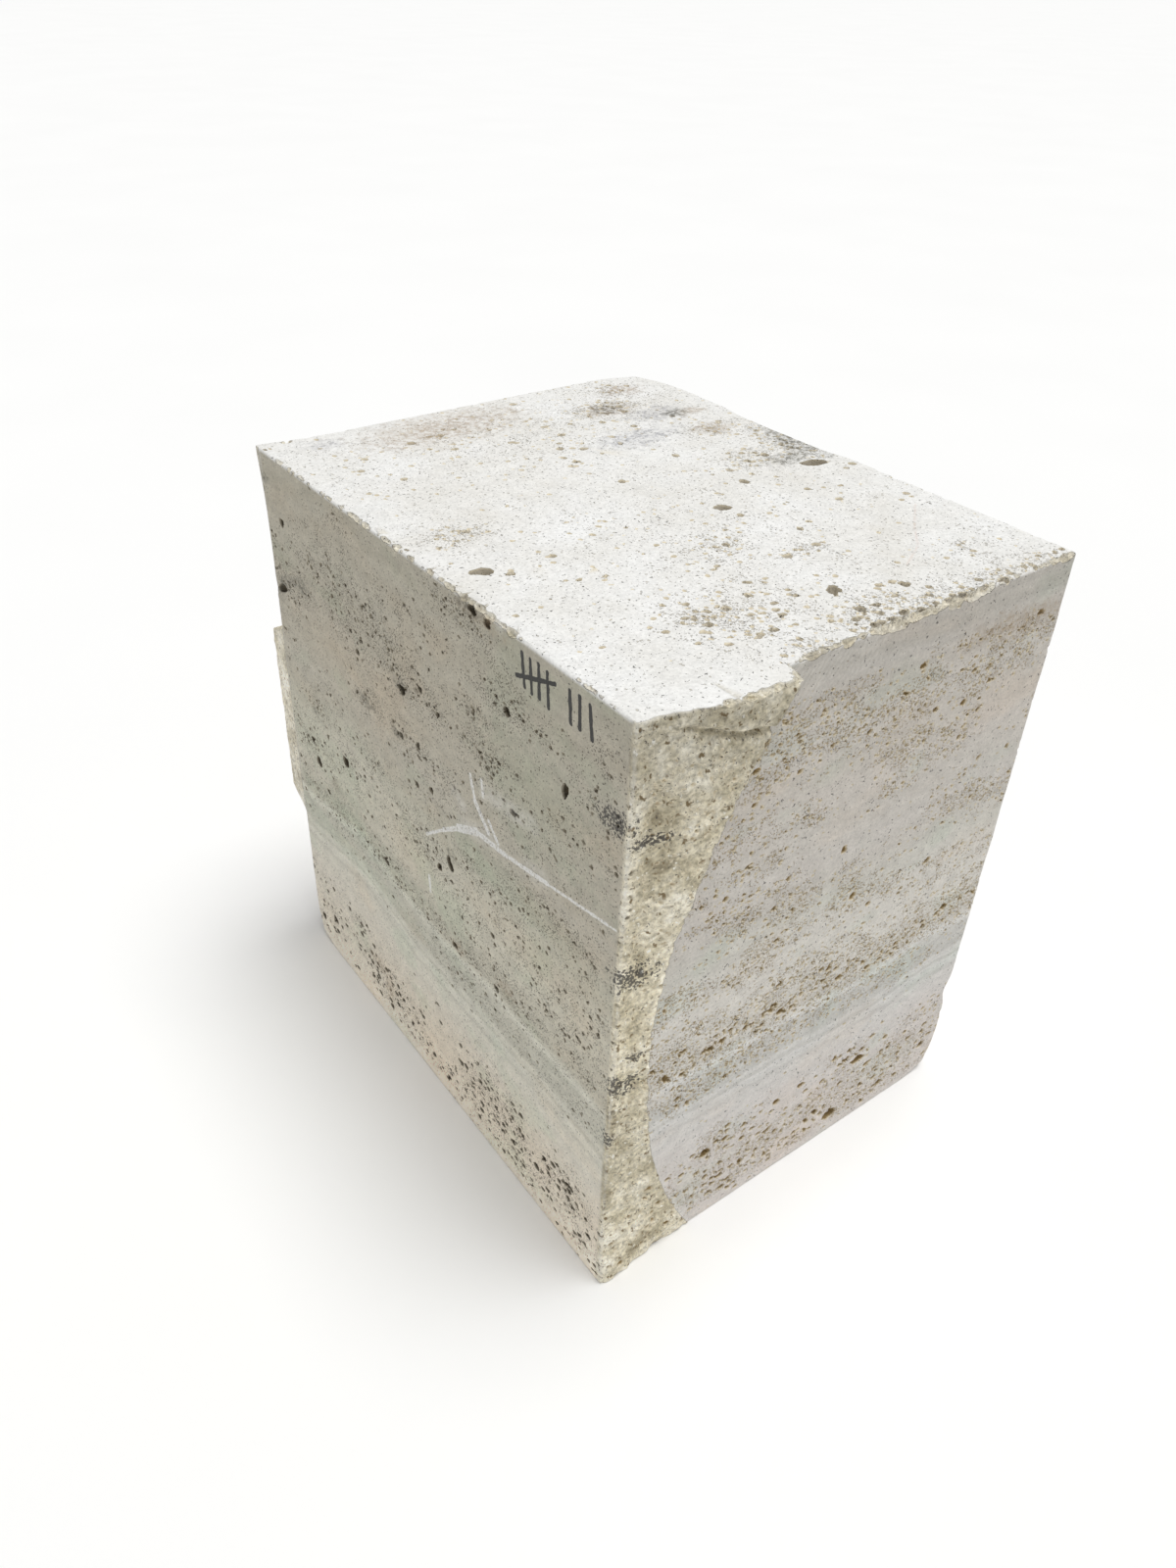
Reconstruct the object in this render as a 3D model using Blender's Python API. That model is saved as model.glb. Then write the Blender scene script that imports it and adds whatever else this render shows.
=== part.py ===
"""Travertine block: one piece of bedded stone, sawn on six sides.

The saw left two rough strips standing proud of the sawn planes, one down the near corner of the
front and one on the back, each ending at the arc where the disc blade ran out. Edges and corners
are worn and chipped, and the beds show as rows of pits. Metres, +Z up, origin at the middle of
the sawn base.
"""
import math
import random

import bmesh
import bpy
import numpy as np
from mathutils import Euler, Matrix, Vector

NODE = "travertine_block"

# Sawn size: X across, Y deep, Z high
WIDTH = 0.400
DEPTH = 0.500
HEIGHT = 0.540

# Wear: the radius that rubs off every edge, and the chips that are larger
EDGE_WEAR = 0.0016
EDGE_WEAR_VARIES = 0.0010
CORNER_RUB = 0.019
FOOT_RUB = 0.011
EDGE_NIBBLE = 0.0075
NOTCH_DEPTH = 0.0085
NOTCH_Z = 0.102

# Rough strip on the front (-Y), inside the arc of the disc blade
BLADE_RADIUS = 0.515
BLADE_CENTRE_X = 0.343
BLADE_CENTRE_Z = 0.255
STRIP_PROUD = 0.0165
STRIP_STARTS = 0.015
STRIP_RISE = 0.035
STRIP_LUMP = 0.0024

# Rough patch on the back (+Y), against the corner with the side face (-X)
PATCH_PROUD = 0.032
PATCH_SHOULDER = 0.0045
PATCH_REACH = 0.130
PATCH_MIDDLE_Z = 0.262
PATCH_FOOT_Z = 0.160
PATCH_HEAD_Z = 0.374
PATCH_END = 0.020

# How far in from an edge the strip and the patch still pull the neighbouring faces out
SHARE_FADE = 0.030

# Saw ledge on the side face (-X), also an arc of the blade
LEDGE_RADIUS = 0.442
LEDGE_CENTRE_Y = -0.262
LEDGE_CENTRE_Z = -0.063
LEDGE_DEPTH = 0.0012
LEDGE_FADE = 0.080
LEDGE_Y_FROM = -0.244
LEDGE_Y_TO = -0.012
LEDGE_STEPS = 10

# Rows and stations of the loft
STEP = 0.015
NEAR_EDGE = (0.004, 0.010, 0.018, 0.030)
STRIP_STATIONS = 13
PATCH_STATIONS = 12
FLAT_STATIONS = 11
FLAT_ANGLE = math.radians(0.05)

# Pits along the beds: lowest and highest z, pits tried on a side face, and their size range
BEDS = (
    (0.014, 0.060, 12, 0.0060, 0.0110),
    (0.060, 0.102, 7, 0.0050, 0.0085),
    (0.204, 0.232, 10, 0.0055, 0.0085),
    (0.240, 0.306, 6, 0.0050, 0.0085),
    (0.318, 0.362, 6, 0.0050, 0.0075),
    (0.372, 0.390, 4, 0.0050, 0.0070),
    (0.400, 0.445, 4, 0.0050, 0.0070),
    (0.450, 0.500, 5, 0.0050, 0.0075),
)
FACE_SHARES = (("front", 1.0), ("side", 0.85), ("right", 0.45), ("back", 0.45))
# Pits on the cross-cut faces: middle, half spread, number and size range
TOP_CLUSTERS = (
    (-0.060, -0.188, 0.045, 0.040, 13, 0.0050, 0.0080),
    (0.030, -0.220, 0.042, 0.016, 7, 0.0050, 0.0085),
    (0.040, 0.120, 0.120, 0.090, 5, 0.0050, 0.0070),
    (0.000, -0.060, 0.150, 0.100, 4, 0.0050, 0.0060),
)
BASE_CLUSTERS = (
    (0.120, 0.160, 0.050, 0.050, 3, 0.0060, 0.0090),
    (-0.120, -0.170, 0.050, 0.050, 3, 0.0060, 0.0090),
)
# Single large pits: face, place across and up the face, width and height
LARGE_PITS = (
    ("top", -0.170, -0.046, 0.015, 0.012),
    ("top", -0.156, -0.059, 0.007, 0.006),
    ("top", 0.040, -0.052, 0.014, 0.011),
    ("top", 0.090, -0.023, 0.010, 0.017),
    ("top", 0.166, -0.023, 0.021, 0.012),
    ("top", 0.010, -0.196, 0.012, 0.011),
    ("top", -0.004, -0.244, 0.012, 0.008),
    ("top", 0.022, -0.245, 0.016, 0.009),
    ("top", 0.052, -0.246, 0.013, 0.008),
    ("top", 0.084, -0.247, 0.017, 0.007),
    ("top", 0.122, -0.247, 0.012, 0.007),
    ("top", 0.154, -0.248, 0.015, 0.006),
    ("side", -0.081, 0.534, 0.010, 0.008),
    ("side", -0.098, 0.533, 0.008, 0.007),
    ("side", -0.186, 0.455, 0.006, 0.012),
    ("side", -0.038, 0.293, 0.016, 0.011),
    ("side", 0.200, 0.253, 0.012, 0.010),
    ("side", 0.140, 0.287, 0.010, 0.009),
    ("side", 0.024, 0.421, 0.011, 0.008),
    ("side", 0.236, 0.418, 0.020, 0.009),
    ("front", -0.096, 0.086, 0.013, 0.012),
    ("front", 0.084, 0.082, 0.018, 0.009),
    ("front", 0.060, 0.024, 0.016, 0.010),
    ("front", 0.004, 0.358, 0.006, 0.008),
)
PIT_GAP = 1.25
PIT_MARGIN = 0.007
PIT_SINK = 0.22
PIT_DEPTH_SHARE = 0.62
PIT_SEED = 7

STONE_COLOUR = (0.62, 0.58, 0.51, 1.0)
STONE_ROUGHNESS = 0.85

LOW = np.array([-WIDTH / 2, -DEPTH / 2, 0.0])
HIGH = np.array([WIDTH / 2, DEPTH / 2, HEIGHT])


def lattice(i, j, k, seed):
    """Fixed pseudo-random value in -1..1 for each whole-number corner."""
    mixed = (i * 374761393 + j * 668265263 + k * 974634777 + seed * 69069) & 0xFFFFFFFF
    mixed = ((mixed ^ (mixed >> 13)) * 1274126177) & 0xFFFFFFFF
    return (mixed ^ (mixed >> 16)) / 2147483648.0 - 1.0


def smooth_noise(points, size, seed):
    """Value noise: lattice values blended over each cell by the quintic fade."""
    cell = np.floor(points / size).astype(np.int64)
    part = points / size - cell
    fade = part ** 3 * (part * (part * 6 - 15) + 10)
    total = np.zeros(len(points))
    for dx in (0, 1):
        for dy in (0, 1):
            for dz in (0, 1):
                weight = np.abs(1 - dx - fade[:, 0]) * np.abs(1 - dy - fade[:, 1])
                weight = weight * np.abs(1 - dz - fade[:, 2])
                corner = lattice(cell[:, 0] + dx, cell[:, 1] + dy, cell[:, 2] + dz, seed)
                total += weight * corner
    return total


def layered_noise(points, size, seed, layers):
    """Smooth noise summed over layers of half the size and half the strength."""
    total = np.zeros(len(points))
    for layer in range(layers):
        total += smooth_noise(points, size / 2 ** layer, seed + layer) / 2 ** layer
    return total


def ramp(value, start, end):
    """Smoothstep from 0 at start to 1 at end, which may lie below start."""
    share = np.clip((value - start) / (end - start), 0.0, 1.0)
    return share * share * (3 - 2 * share)


def near(points, x, y, z, reach):
    """Bell of height 1 round a place: exp(-(distance / reach) squared)."""
    gap = points - np.array([x, y, z])
    return np.exp(-np.sum(gap * gap, axis=1) / reach ** 2)


def wear_radius(points):
    """Radius rubbed off the edges at each place: a small one everywhere, larger at chips."""
    radius = EDGE_WEAR + EDGE_WEAR_VARIES * layered_noise(points, 0.030, 11, 2)
    radius += CORNER_RUB * near(points, HIGH[0], HIGH[1], HIGH[2], 0.034)
    for x, y in ((LOW[0], HIGH[1]), (HIGH[0], LOW[1]), (HIGH[0], HIGH[1])):
        radius += FOOT_RUB * near(points, x, y, LOW[2], 0.024)
    along = ramp(points[:, 1], -0.035, 0.000) * ramp(points[:, 1], 0.125, 0.085)
    radius += EDGE_NIBBLE * along * near_line(points, HIGH[0], HIGH[2], 0, 0.018)
    radius += NOTCH_DEPTH * near(points, HIGH[0], LOW[1], NOTCH_Z, 0.013)
    crumbs = ramp(points[:, 0], -0.030, 0.010) * near_line(points, LOW[1], HIGH[2], 1, 0.012)
    radius += crumbs * (0.0016 + 0.0022 * layered_noise(points, 0.022, 23, 2))
    return np.clip(radius, 0.0006, 0.030)


def near_line(points, across, level, axis, reach):
    """Bell round the top edge that runs where the given axis equals across."""
    gap = (points[:, axis] - across) ** 2 + (points[:, 2] - level) ** 2
    return np.exp(-gap / reach ** 2)


def strip_end(z):
    """Distance from the near corner to the blade's arc on the front, at height z."""
    return BLADE_CENTRE_X - np.sqrt(BLADE_RADIUS ** 2 - (z - BLADE_CENTRE_Z) ** 2) - LOW[0]


def patch_end(z):
    """Distance from the side face to the arc that ends the patch on the back, at height z."""
    return PATCH_REACH - (z - PATCH_MIDDLE_Z) ** 2 / (2 * BLADE_RADIUS)


def strip_proud(points):
    """Height of the front strip: a falling-off rise away from the near corner, lower at the
    foot, with lumps, and nothing past the blade's arc."""
    reach = points[:, 0] - LOW[0]
    rise = 1 - np.exp(-np.maximum(reach - STRIP_STARTS, 0.0) / STRIP_RISE)
    level = 0.06 + 0.94 * ramp(points[:, 2], 0.000, 0.340)
    lumps = layered_noise(points * np.array([1.0, 0.0, 1.0]), 0.034, 41, 3)
    lobe = 0.004 * near(points, LOW[0] + 0.010, LOW[1], 0.012, 0.022)
    proud = STRIP_PROUD * rise * level + STRIP_LUMP * lumps * ramp(reach, 0.0, 0.022) + lobe
    return np.where(reach <= strip_end(points[:, 2]) + 1e-6, proud, 0.0)


def patch_proud(points):
    """Height of the back patch: a quarter ellipse up from the corner, then flat with lumps,
    ended sharply above and below, plus a small lobe at the top corner."""
    reach = points[:, 0] - LOW[0]
    height = points[:, 2]
    level = ramp(height, PATCH_HEAD_Z, PATCH_HEAD_Z - PATCH_END)
    level = level * ramp(height, PATCH_FOOT_Z, PATCH_FOOT_Z + PATCH_END)
    short = np.clip(1 - reach / PATCH_SHOULDER, 0.0, 1.0)
    lumps = layered_noise(points * np.array([1.0, 0.0, 1.0]), 0.040, 57, 3)
    rise = PATCH_PROUD + (2 * lumps - 2) * STRIP_LUMP * ramp(reach, 0.004, 0.040)
    proud = rise * np.sqrt(1 - short * short) * level
    proud = np.where(reach <= patch_end(height) + 1e-6, proud, 0.0)
    return proud + 0.007 * np.exp(-(reach / 0.030) ** 2 - ((height - HEIGHT) / 0.040) ** 2)


def weather(points):
    """Carry points of the plain sawn box to the worn block.

    The edges are rounded by pulling each point back to the box shrunk by the wear radius and out
    again by that radius. The front strip and the back patch then push out along Y.
    """
    radius = wear_radius(points)[:, None]
    inner = np.clip(points, LOW + radius, HIGH - radius)
    out = points - inner
    length = np.linalg.norm(out, axis=1)[:, None]
    worn = inner + out / np.maximum(length, 1e-9) * radius
    front_share = np.clip(1 - (points[:, 1] - LOW[1]) / SHARE_FADE, 0.0, 1.0)
    back_share = np.clip(1 - (HIGH[1] - points[:, 1]) / SHARE_FADE, 0.0, 1.0)
    worn[:, 1] -= strip_proud(points) * front_share
    worn[:, 1] += patch_proud(points) * back_share
    return worn


def spread(start, end, count):
    """Places from start up to, but not at, end, with closer ones next to both corners."""
    middle = np.linspace(start, end, count + 1)[1:-1]
    inset = math.copysign(NEAR_EDGE[0], end - start)
    close = [start, start + inset, start + 2.5 * inset]
    return np.array(close + list(middle) + [end - 2.5 * inset, end - inset])


def broken_side(reach, stations, crowd, flat):
    """Distances along a side that starts with a rough part of the given reach; a larger crowd
    brings its stations closer to the corner."""
    rough = reach * np.linspace(0.0, 1.0, stations) ** crowd
    return np.append(rough, spread(reach + 0.0015, WIDTH, flat))


def outline(z, shrink):
    """The block's outline at height z, from the near corner and round by the right, as points
    of the plain box; shrink pulls it in towards the middle for the loops on top and base."""
    front = LOW[0] + broken_side(float(strip_end(z)), STRIP_STATIONS, 0.9, FLAT_STATIONS)
    back = LOW[0] + broken_side(float(patch_end(z)), PATCH_STATIONS, 2.3, FLAT_STATIONS)
    back = np.append(back, HIGH[0])[:0:-1]
    right = spread(LOW[1], HIGH[1], FLAT_STATIONS)
    left = spread(HIGH[1], LOW[1], FLAT_STATIONS)
    across = np.concatenate([front, np.full(len(right), HIGH[0]), back, np.full(len(left), LOW[0])])
    along = np.concatenate(
        [np.full(len(front), LOW[1]), right, np.full(len(back), HIGH[1]), left])
    across = across * (1 - 2 * shrink / WIDTH)
    along = along * (1 - 2 * shrink / DEPTH)
    return np.stack([across, along, np.full(len(across), z)], axis=1)


def loops():
    """All outlines from the middle of the base, up the sides, to the middle of the top."""
    low = [outline(0.0, shrink) for shrink in reversed(NEAR_EDGE)]
    middle = np.arange(NEAR_EDGE[-1] + STEP, HEIGHT - NEAR_EDGE[-1] - STEP / 2, STEP)
    levels = [0.0] + list(NEAR_EDGE) + list(middle)
    levels += [HEIGHT - gap for gap in reversed(NEAR_EDGE)] + [HEIGHT]
    high = [outline(HEIGHT, shrink) for shrink in NEAR_EDGE]
    return low + [outline(z, 0.0) for z in levels] + high


def fill_loft(mesh, rings):
    """Skin quads between neighbouring rings and close both ends with one face."""
    rows = [[mesh.verts.new(point) for point in ring] for ring in rings]
    count = len(rows[0])
    for lower, upper in zip(rows, rows[1:]):
        for i in range(count):
            j = (i + 1) % count
            mesh.faces.new((lower[i], lower[j], upper[j], upper[i]))
    mesh.faces.new(list(reversed(rows[0])))
    mesh.faces.new(rows[-1])


def make_object(name, mesh):
    """Put a bmesh into a new object of the scene."""
    bmesh.ops.recalc_face_normals(mesh, faces=mesh.faces)
    data = bpy.data.meshes.new(name)
    mesh.to_mesh(data)
    mesh.free()
    made = bpy.data.objects.new(name, data)
    bpy.context.scene.collection.objects.link(made)
    return made


def make_block():
    """Loft the worn block and merge what is flat."""
    mesh = bmesh.new()
    fill_loft(mesh, [weather(ring) for ring in loops()])
    mesh.normal_update()
    bmesh.ops.dissolve_limit(mesh, angle_limit=FLAT_ANGLE, verts=mesh.verts, edges=mesh.edges)
    return make_object(NODE, mesh)


def place_on_face(face, across, up):
    """World place and outward direction for a place given across and up a sawn face."""
    spots = {
        "front": ((across, LOW[1], up), (0, -1, 0)),
        "back": ((across, HIGH[1], up), (0, 1, 0)),
        "side": ((LOW[0], across, up), (-1, 0, 0)),
        "right": ((HIGH[0], across, up), (1, 0, 0)),
        "top": ((across, up, HEIGHT), (0, 0, 1)),
        "base": ((across, up, 0.0), (0, 0, -1)),
    }
    spot, out = spots[face]
    return Vector(spot), Vector(out)


def is_sawn(face, across, up, size):
    """True where a pit of this size lies on sawn stone, clear of edges, strip and patch."""
    margin = PIT_MARGIN + size / 2
    limit = HIGH[0] if face in ("front", "back", "top", "base") else HIGH[1]
    if abs(across) > limit - margin:
        return False
    if face in ("top", "base"):
        return abs(up) < HIGH[1] - margin
    if not margin < up < HEIGHT - margin:
        return False
    if face == "front":
        return across - LOW[0] > float(strip_end(up)) + margin
    if face == "back" and PATCH_FOOT_Z - margin < up < PATCH_HEAD_Z + margin:
        return across - LOW[0] > float(patch_end(up)) + margin
    return True


def pit_list():
    """Every pit as (face, across, up, width, height): the large ones, then seeded ones along
    the beds and in the clusters, each clear of those before it."""
    chance = random.Random(PIT_SEED)
    pits = list(LARGE_PITS)

    def offer(face, across, up, size):
        clear = all(
            other[0] != face
            or math.hypot(other[1] - across, other[2] - up) > PIT_GAP * (other[3] + size) / 2
            for other in pits)
        if clear and is_sawn(face, across, up, size):
            height = size * chance.uniform(0.6, 0.95)
            pits.append((face, across, up, size, height))

    for face, share in FACE_SHARES:
        half = HIGH[0] if face in ("front", "back") else HIGH[1]
        for low, high, count, small, large in BEDS:
            for _ in range(round(count * share)):
                across = chance.uniform(-half, half)
                offer(face, across, chance.uniform(low, high), chance.uniform(small, large))
    for face, clusters in (("top", TOP_CLUSTERS), ("base", BASE_CLUSTERS)):
        for x, y, wide, deep, count, small, large in clusters:
            for _ in range(count):
                across = x + wide * chance.uniform(-1, 1)
                up = y + deep * chance.uniform(-1, 1)
                offer(face, across, up, chance.uniform(small, large))
    return pits


def add_pit(mesh, chance, pit):
    """One angular hollow: a squashed, dented icosahedron sunk into the face."""
    face, across, up, width, height = pit
    spot, out = place_on_face(face, across, up)
    depth = PIT_DEPTH_SHARE * (width + height) / 2
    rise = Vector((0, 1, 0)) if face in ("top", "base") else Vector((0, 0, 1))
    frame = Matrix((rise.cross(out), rise, out)).transposed()
    turn = Euler([chance.uniform(0, math.tau) for _ in range(3)]).to_matrix()
    made = bmesh.ops.create_icosphere(mesh, subdivisions=1, radius=1.0)["verts"]
    for vert in made:
        shape = turn @ vert.co * chance.uniform(0.82, 1.15)
        shape = Vector((shape.x * width / 2, shape.y * height / 2, shape.z * depth))
        vert.co = spot + frame @ shape - out * depth * PIT_SINK


def make_pits():
    """All hollows as one cutter."""
    chance = random.Random(PIT_SEED + 1)
    mesh = bmesh.new()
    for pit in pit_list():
        add_pit(mesh, chance, pit)
    return make_cutter("pit_cutter", mesh)


def make_ledge():
    """Thin wedge above the blade's arc on the side face: deepest at the arc, gone at its head."""
    mesh = bmesh.new()
    sections = []
    for y in np.linspace(LEDGE_Y_FROM, LEDGE_Y_TO, LEDGE_STEPS):
        z = LEDGE_CENTRE_Z + math.sqrt(LEDGE_RADIUS ** 2 - (y - LEDGE_CENTRE_Y) ** 2)
        share = math.sin(math.pi * (y - 2 * LEDGE_Y_FROM + LEDGE_Y_TO) / (LEDGE_Y_TO - LEDGE_Y_FROM) / 2)
        depth = LEDGE_DEPTH * max(0.3, abs(share))
        head = z + LEDGE_FADE
        profile = ((-0.012, z), (depth, z), (-0.0004, head), (-0.012, head))
        sections.append([(LOW[0] + x, y, level) for x, level in profile])
    fill_loft(mesh, sections)
    return make_cutter("ledge_cutter", mesh)


def make_cutter(name, mesh):
    """A guide object that only cuts."""
    cutter = make_object(name, mesh)
    cutter.hide_render = True
    cutter.display_type = "WIRE"
    return cutter


def cut(block, cutter):
    """Take the cutter's shape out of the block."""
    step = block.modifiers.new(cutter.name, "BOOLEAN")
    step.operation = "DIFFERENCE"
    step.solver = "EXACT"
    step.object = cutter


def stone_material():
    """Pale, matt, bedded limestone."""
    material = bpy.data.materials.new("travertine")
    material.use_nodes = True
    shader = material.node_tree.nodes["Principled BSDF"]
    shader.inputs["Base Color"].default_value = STONE_COLOUR
    shader.inputs["Roughness"].default_value = STONE_ROUGHNESS
    shader.inputs["Metallic"].default_value = 0.0
    return material


def main():
    for old in list(bpy.data.objects):
        bpy.data.objects.remove(old, do_unlink=True)
    block = make_block()
    block.data.materials.append(stone_material())
    cut(block, make_ledge())
    cut(block, make_pits())


main()
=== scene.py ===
"""Travertine block: the finished stone, its studio and its camera.

One piece of bedded travertine, sawn on six sides, with rough strips that the saw left on the
front and the back. The stone is a grid wrapped round the sawn box and worn, broken and pitted by
formulas of the place on it. Its colours, fine pores, saw marks and stains are shader nodes that
read Object coordinates. Metres, +Z up, origin at the middle of the sawn base.
"""
import math
import random
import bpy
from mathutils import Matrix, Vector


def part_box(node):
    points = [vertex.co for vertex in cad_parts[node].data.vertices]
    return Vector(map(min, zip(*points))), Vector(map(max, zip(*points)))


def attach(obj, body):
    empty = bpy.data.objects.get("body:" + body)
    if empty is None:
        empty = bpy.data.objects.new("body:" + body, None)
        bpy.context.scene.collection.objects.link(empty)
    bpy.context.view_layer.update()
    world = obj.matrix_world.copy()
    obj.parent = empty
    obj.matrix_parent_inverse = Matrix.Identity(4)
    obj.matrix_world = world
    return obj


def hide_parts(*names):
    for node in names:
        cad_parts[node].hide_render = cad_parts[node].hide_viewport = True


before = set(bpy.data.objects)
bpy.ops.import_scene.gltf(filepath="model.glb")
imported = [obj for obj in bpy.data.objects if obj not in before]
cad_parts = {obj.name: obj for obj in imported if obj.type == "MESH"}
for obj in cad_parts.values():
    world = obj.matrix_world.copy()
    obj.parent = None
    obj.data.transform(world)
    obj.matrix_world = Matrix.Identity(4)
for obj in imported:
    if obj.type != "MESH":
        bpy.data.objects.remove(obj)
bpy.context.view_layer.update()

from types import SimpleNamespace

import bpy
import numpy as np
from bpy.props import FloatProperty, FloatVectorProperty, IntProperty, PointerProperty
from mathutils import Euler, Vector

bl_info = {
    "name": "Travertine Block",
    "version": (1, 0, 0),
    "blender": (4, 5, 0),
    "location": "3D View > Sidebar > Stone",
    "description": "Builds a pitted, sawn block of travertine and a plain studio round it",
    "category": "Add Mesh",
}

NODE = "travertine_block"

NODE_LOW, NODE_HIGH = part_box(NODE)


def thousandths(rows):
    """Rows of whole thousandths as plain values, so that millimetres become metres."""
    return tuple(tuple(round(value / 1000, 7) for value in row) for row in rows)


# Sawn size: X across, Y deep, Z high. Depth is between the sawn faces, without what stands proud.
WIDTH = round(NODE_HIGH[0] - NODE_LOW[0], 4)
DEPTH = 0.500
HEIGHT = round(NODE_HIGH[2] - NODE_LOW[2], 4)
LOW = np.array([-WIDTH / 2, -DEPTH / 2, 0.0])
HIGH = np.array([WIDTH / 2, DEPTH / 2, HEIGHT])

# Wear: how far it varies, in patches of this size, and its limits
WEAR_VARIES = 0.62
WEAR_PATCH = 0.030
LEAST_WEAR = 0.0006
MOST_WEAR = 0.030
# Rubbed corners, nibbled right edge of the top and notch in a front edge: depth and reach
CORNER_RUB, CORNER_REACH = 0.019, 0.034
FOOT_RUB, FOOT_REACH = 0.011, 0.024
EDGE_NIBBLE, NIBBLE_REACH = 0.0075, 0.018
NIBBLE_RUN = (-0.035, 0.000, 0.085, 0.125)
NOTCH_DEPTH, NOTCH_REACH = 0.0085, 0.013
NOTCH_Z = 0.102
# Extra wear of the front edge of the top: where it starts and is full, its reach and its depth
CRUMBLE_RUN = (-0.030, 0.010)
CRUMBLE_REACH = 0.012
CRUMBLE_DEPTH = 0.0016
CRUMBLE_VARIES = 0.0022
CRUMBLE_PATCH = 0.022

# Rough strip on the front (-Y), inside the arc of the disc blade
BLADE_RADIUS = 0.515
BLADE_CENTRE_X = 0.343
BLADE_CENTRE_Z = 0.255
STRIP_PROUD = 0.0165
STRIP_STARTS = 0.015
STRIP_RISE = 0.035
STRIP_FOOT_SHARE = 0.06
STRIP_FULL_Z = 0.340
STRIP_LUMP = 0.0015
STRIP_LUMP_SIZE = 0.034
STRIP_LUMPS_FROM = 0.022
# Lobe at its foot: how far proud, place in from the corner and up, and reach
LOBE_PROUD = 0.004
LOBE_IN = 0.010
LOBE_Z = 0.012
LOBE_REACH = 0.022
# Crack under its top: lowest at CRACK_X, and higher by the sag at CRACK_HALF towards the corner
CRACK_X = -0.088
CRACK_Z = 0.5095
CRACK_HALF = 0.088
CRACK_SAG = 0.020
CRACK_WAVER = 0.002
CRACK_WAVER_SIZE = 0.020
CRACK_DEPTH = 0.0042
CRACK_WIDTH = 0.0021
CRACK_STARTS = (0.022, 0.040)
CRACK_BEND = (-0.3, 1.2)
RELIEF_STARTS = 0.006

# Rough patch on the back (+Y), against the corner with the side face (-X)
PATCH_PROUD = 0.032
PATCH_SHOULDER = 0.0045
PATCH_REACH = 0.130
PATCH_MIDDLE_Z = 0.262
PATCH_FOOT_Z = 0.160
PATCH_HEAD_Z = 0.374
PATCH_END = 0.020
PATCH_LUMP_SIZE = 0.040
PATCH_LUMPS = (0.004, 0.040)
TOP_LOBE_PROUD = 0.007
TOP_LOBE_WIDE = 0.030
TOP_LOBE_HIGH = 0.040

# Ridges of the broken stone: size and height
BROKEN_RIDGES = ((0.013, 0.0010), (0.0062, 0.0007), (0.0034, 0.0005))

# How far in from an edge the strip and the patch still pull the neighbouring faces out
SHARE_FADE = 0.030
ON_LINE = 1e-6

# Saw ledge on the side face (-X): the line of its foot as (y, z) in mm, how far up it fades out,
# and over what length its two ends do
LEDGE_LINE = thousandths((
    (-244, 381.5), (-115, 356), (-80, 352.5), (-55, 340), (-30, 322), (-2, 300),
))
LEDGE_FADE = 0.080
LEDGE_ENDS = (0.040, 0.030)

# Grid round the block: cells along X, Y and Z, cells in the rough strip and patch and how they
# crowd towards the corner, and the cells of EDGE_CELL size that run beside every sawn edge
CELLS_X = 364
CELLS_Y = 456
CELLS_Z = 492
STRIP_CELLS, STRIP_CROWD = 80, 1.15
PATCH_CELLS, PATCH_CROWD = 100, 1.5
EDGE_CELL = 0.0005
EDGE_CELLS = 8
MOST_TRIANGLES = 200000

# Seeds of the fixed noises
SEED = {
    "wear": 11, "crumble": 23, "strip": 41, "patch": 57, "crack": 77, "strip relief": 83,
    "patch relief": 91, "beds": 131, "clusters": 151, "dents": 171, "finer dents": 173,
    "small pores": 181, "large pores": 191, "pits": 13, "chips": 401,
}

# Beds with open pores: lowest and highest z in mm, and thousandths of the stone that are open
BEDS = thousandths((
    (12, 62, 85), (62, 106, 55), (164, 197, 50), (203, 234, 130), (234, 262, 65), (268, 304, 65),
    (318, 362, 55), (368, 392, 50), (398, 443, 60), (448, 505, 70),
))
BED_EDGE = 0.004
BED_WAVER = 0.007
BED_WAVER_SIZE = 0.085
BETWEEN_BEDS = 0.004
# Coarse pores lie below this height, and on the front in one more bed
COARSE_BELOW = 0.108
COARSE_BED = (0.200, 0.208, 0.230, 0.242)
COARSE_MORE = 0.35
COARSE_LARGE = 0.34
# Open share of each wall against its beds, and of the faces that cut across them
WALL_OPEN = {"front": 0.85, "side": 0.56, "right": 0.40, "back": 0.40}
CROSS_CUT_OPEN = 0.006
CROSS_CUT_LARGE = 0.35
# Clusters along the beds: size, the noise that ends them, and the open share outside and inside
CLUSTER_SIZE = 0.048
CLUSTER_ENDS = (-0.55, 0.55)
CLUSTER_LEAST = 0.2
CLUSTER_GAIN = 1.6
# Share of the open stone that is large pores: everywhere, and added in the coarse beds
FEW_LARGE = 0.04
MANY_LARGE = 0.76

# Strewn pores, small and large: size of a cell that holds one, least and largest radius, seed
SMALL_PORES = (0.0046, 0.0010, 0.0021, SEED["small pores"])
LARGE_PORES = (0.0080, 0.0018, 0.0036, SEED["large pores"])
PORE_SHAKE = 0.3
PORE_SIZE_POWER = 1.5
PORE_SQUASH = 1.35
PORE_DEEPEN = 1.35
PORE_DENT = 0.0009
# Dents of the pores: size, seed and the way that they push
PORE_DENTS = (
    (0.0034, SEED["dents"], (0.7, 0.5, -0.6)),
    (0.0030, SEED["finer dents"], (-0.5, 0.7, 0.6)),
)
LEAST_OPEN = 0.0005
STRIP_PORE_DEPTH = 0.6
ROUGH_MARGIN = 0.002
PORES_OFF_EDGE = (0.0004, 0.0022)
SIDE_CARVED = 0.42
SIDE_CARVED_FADE = 0.010

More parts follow.
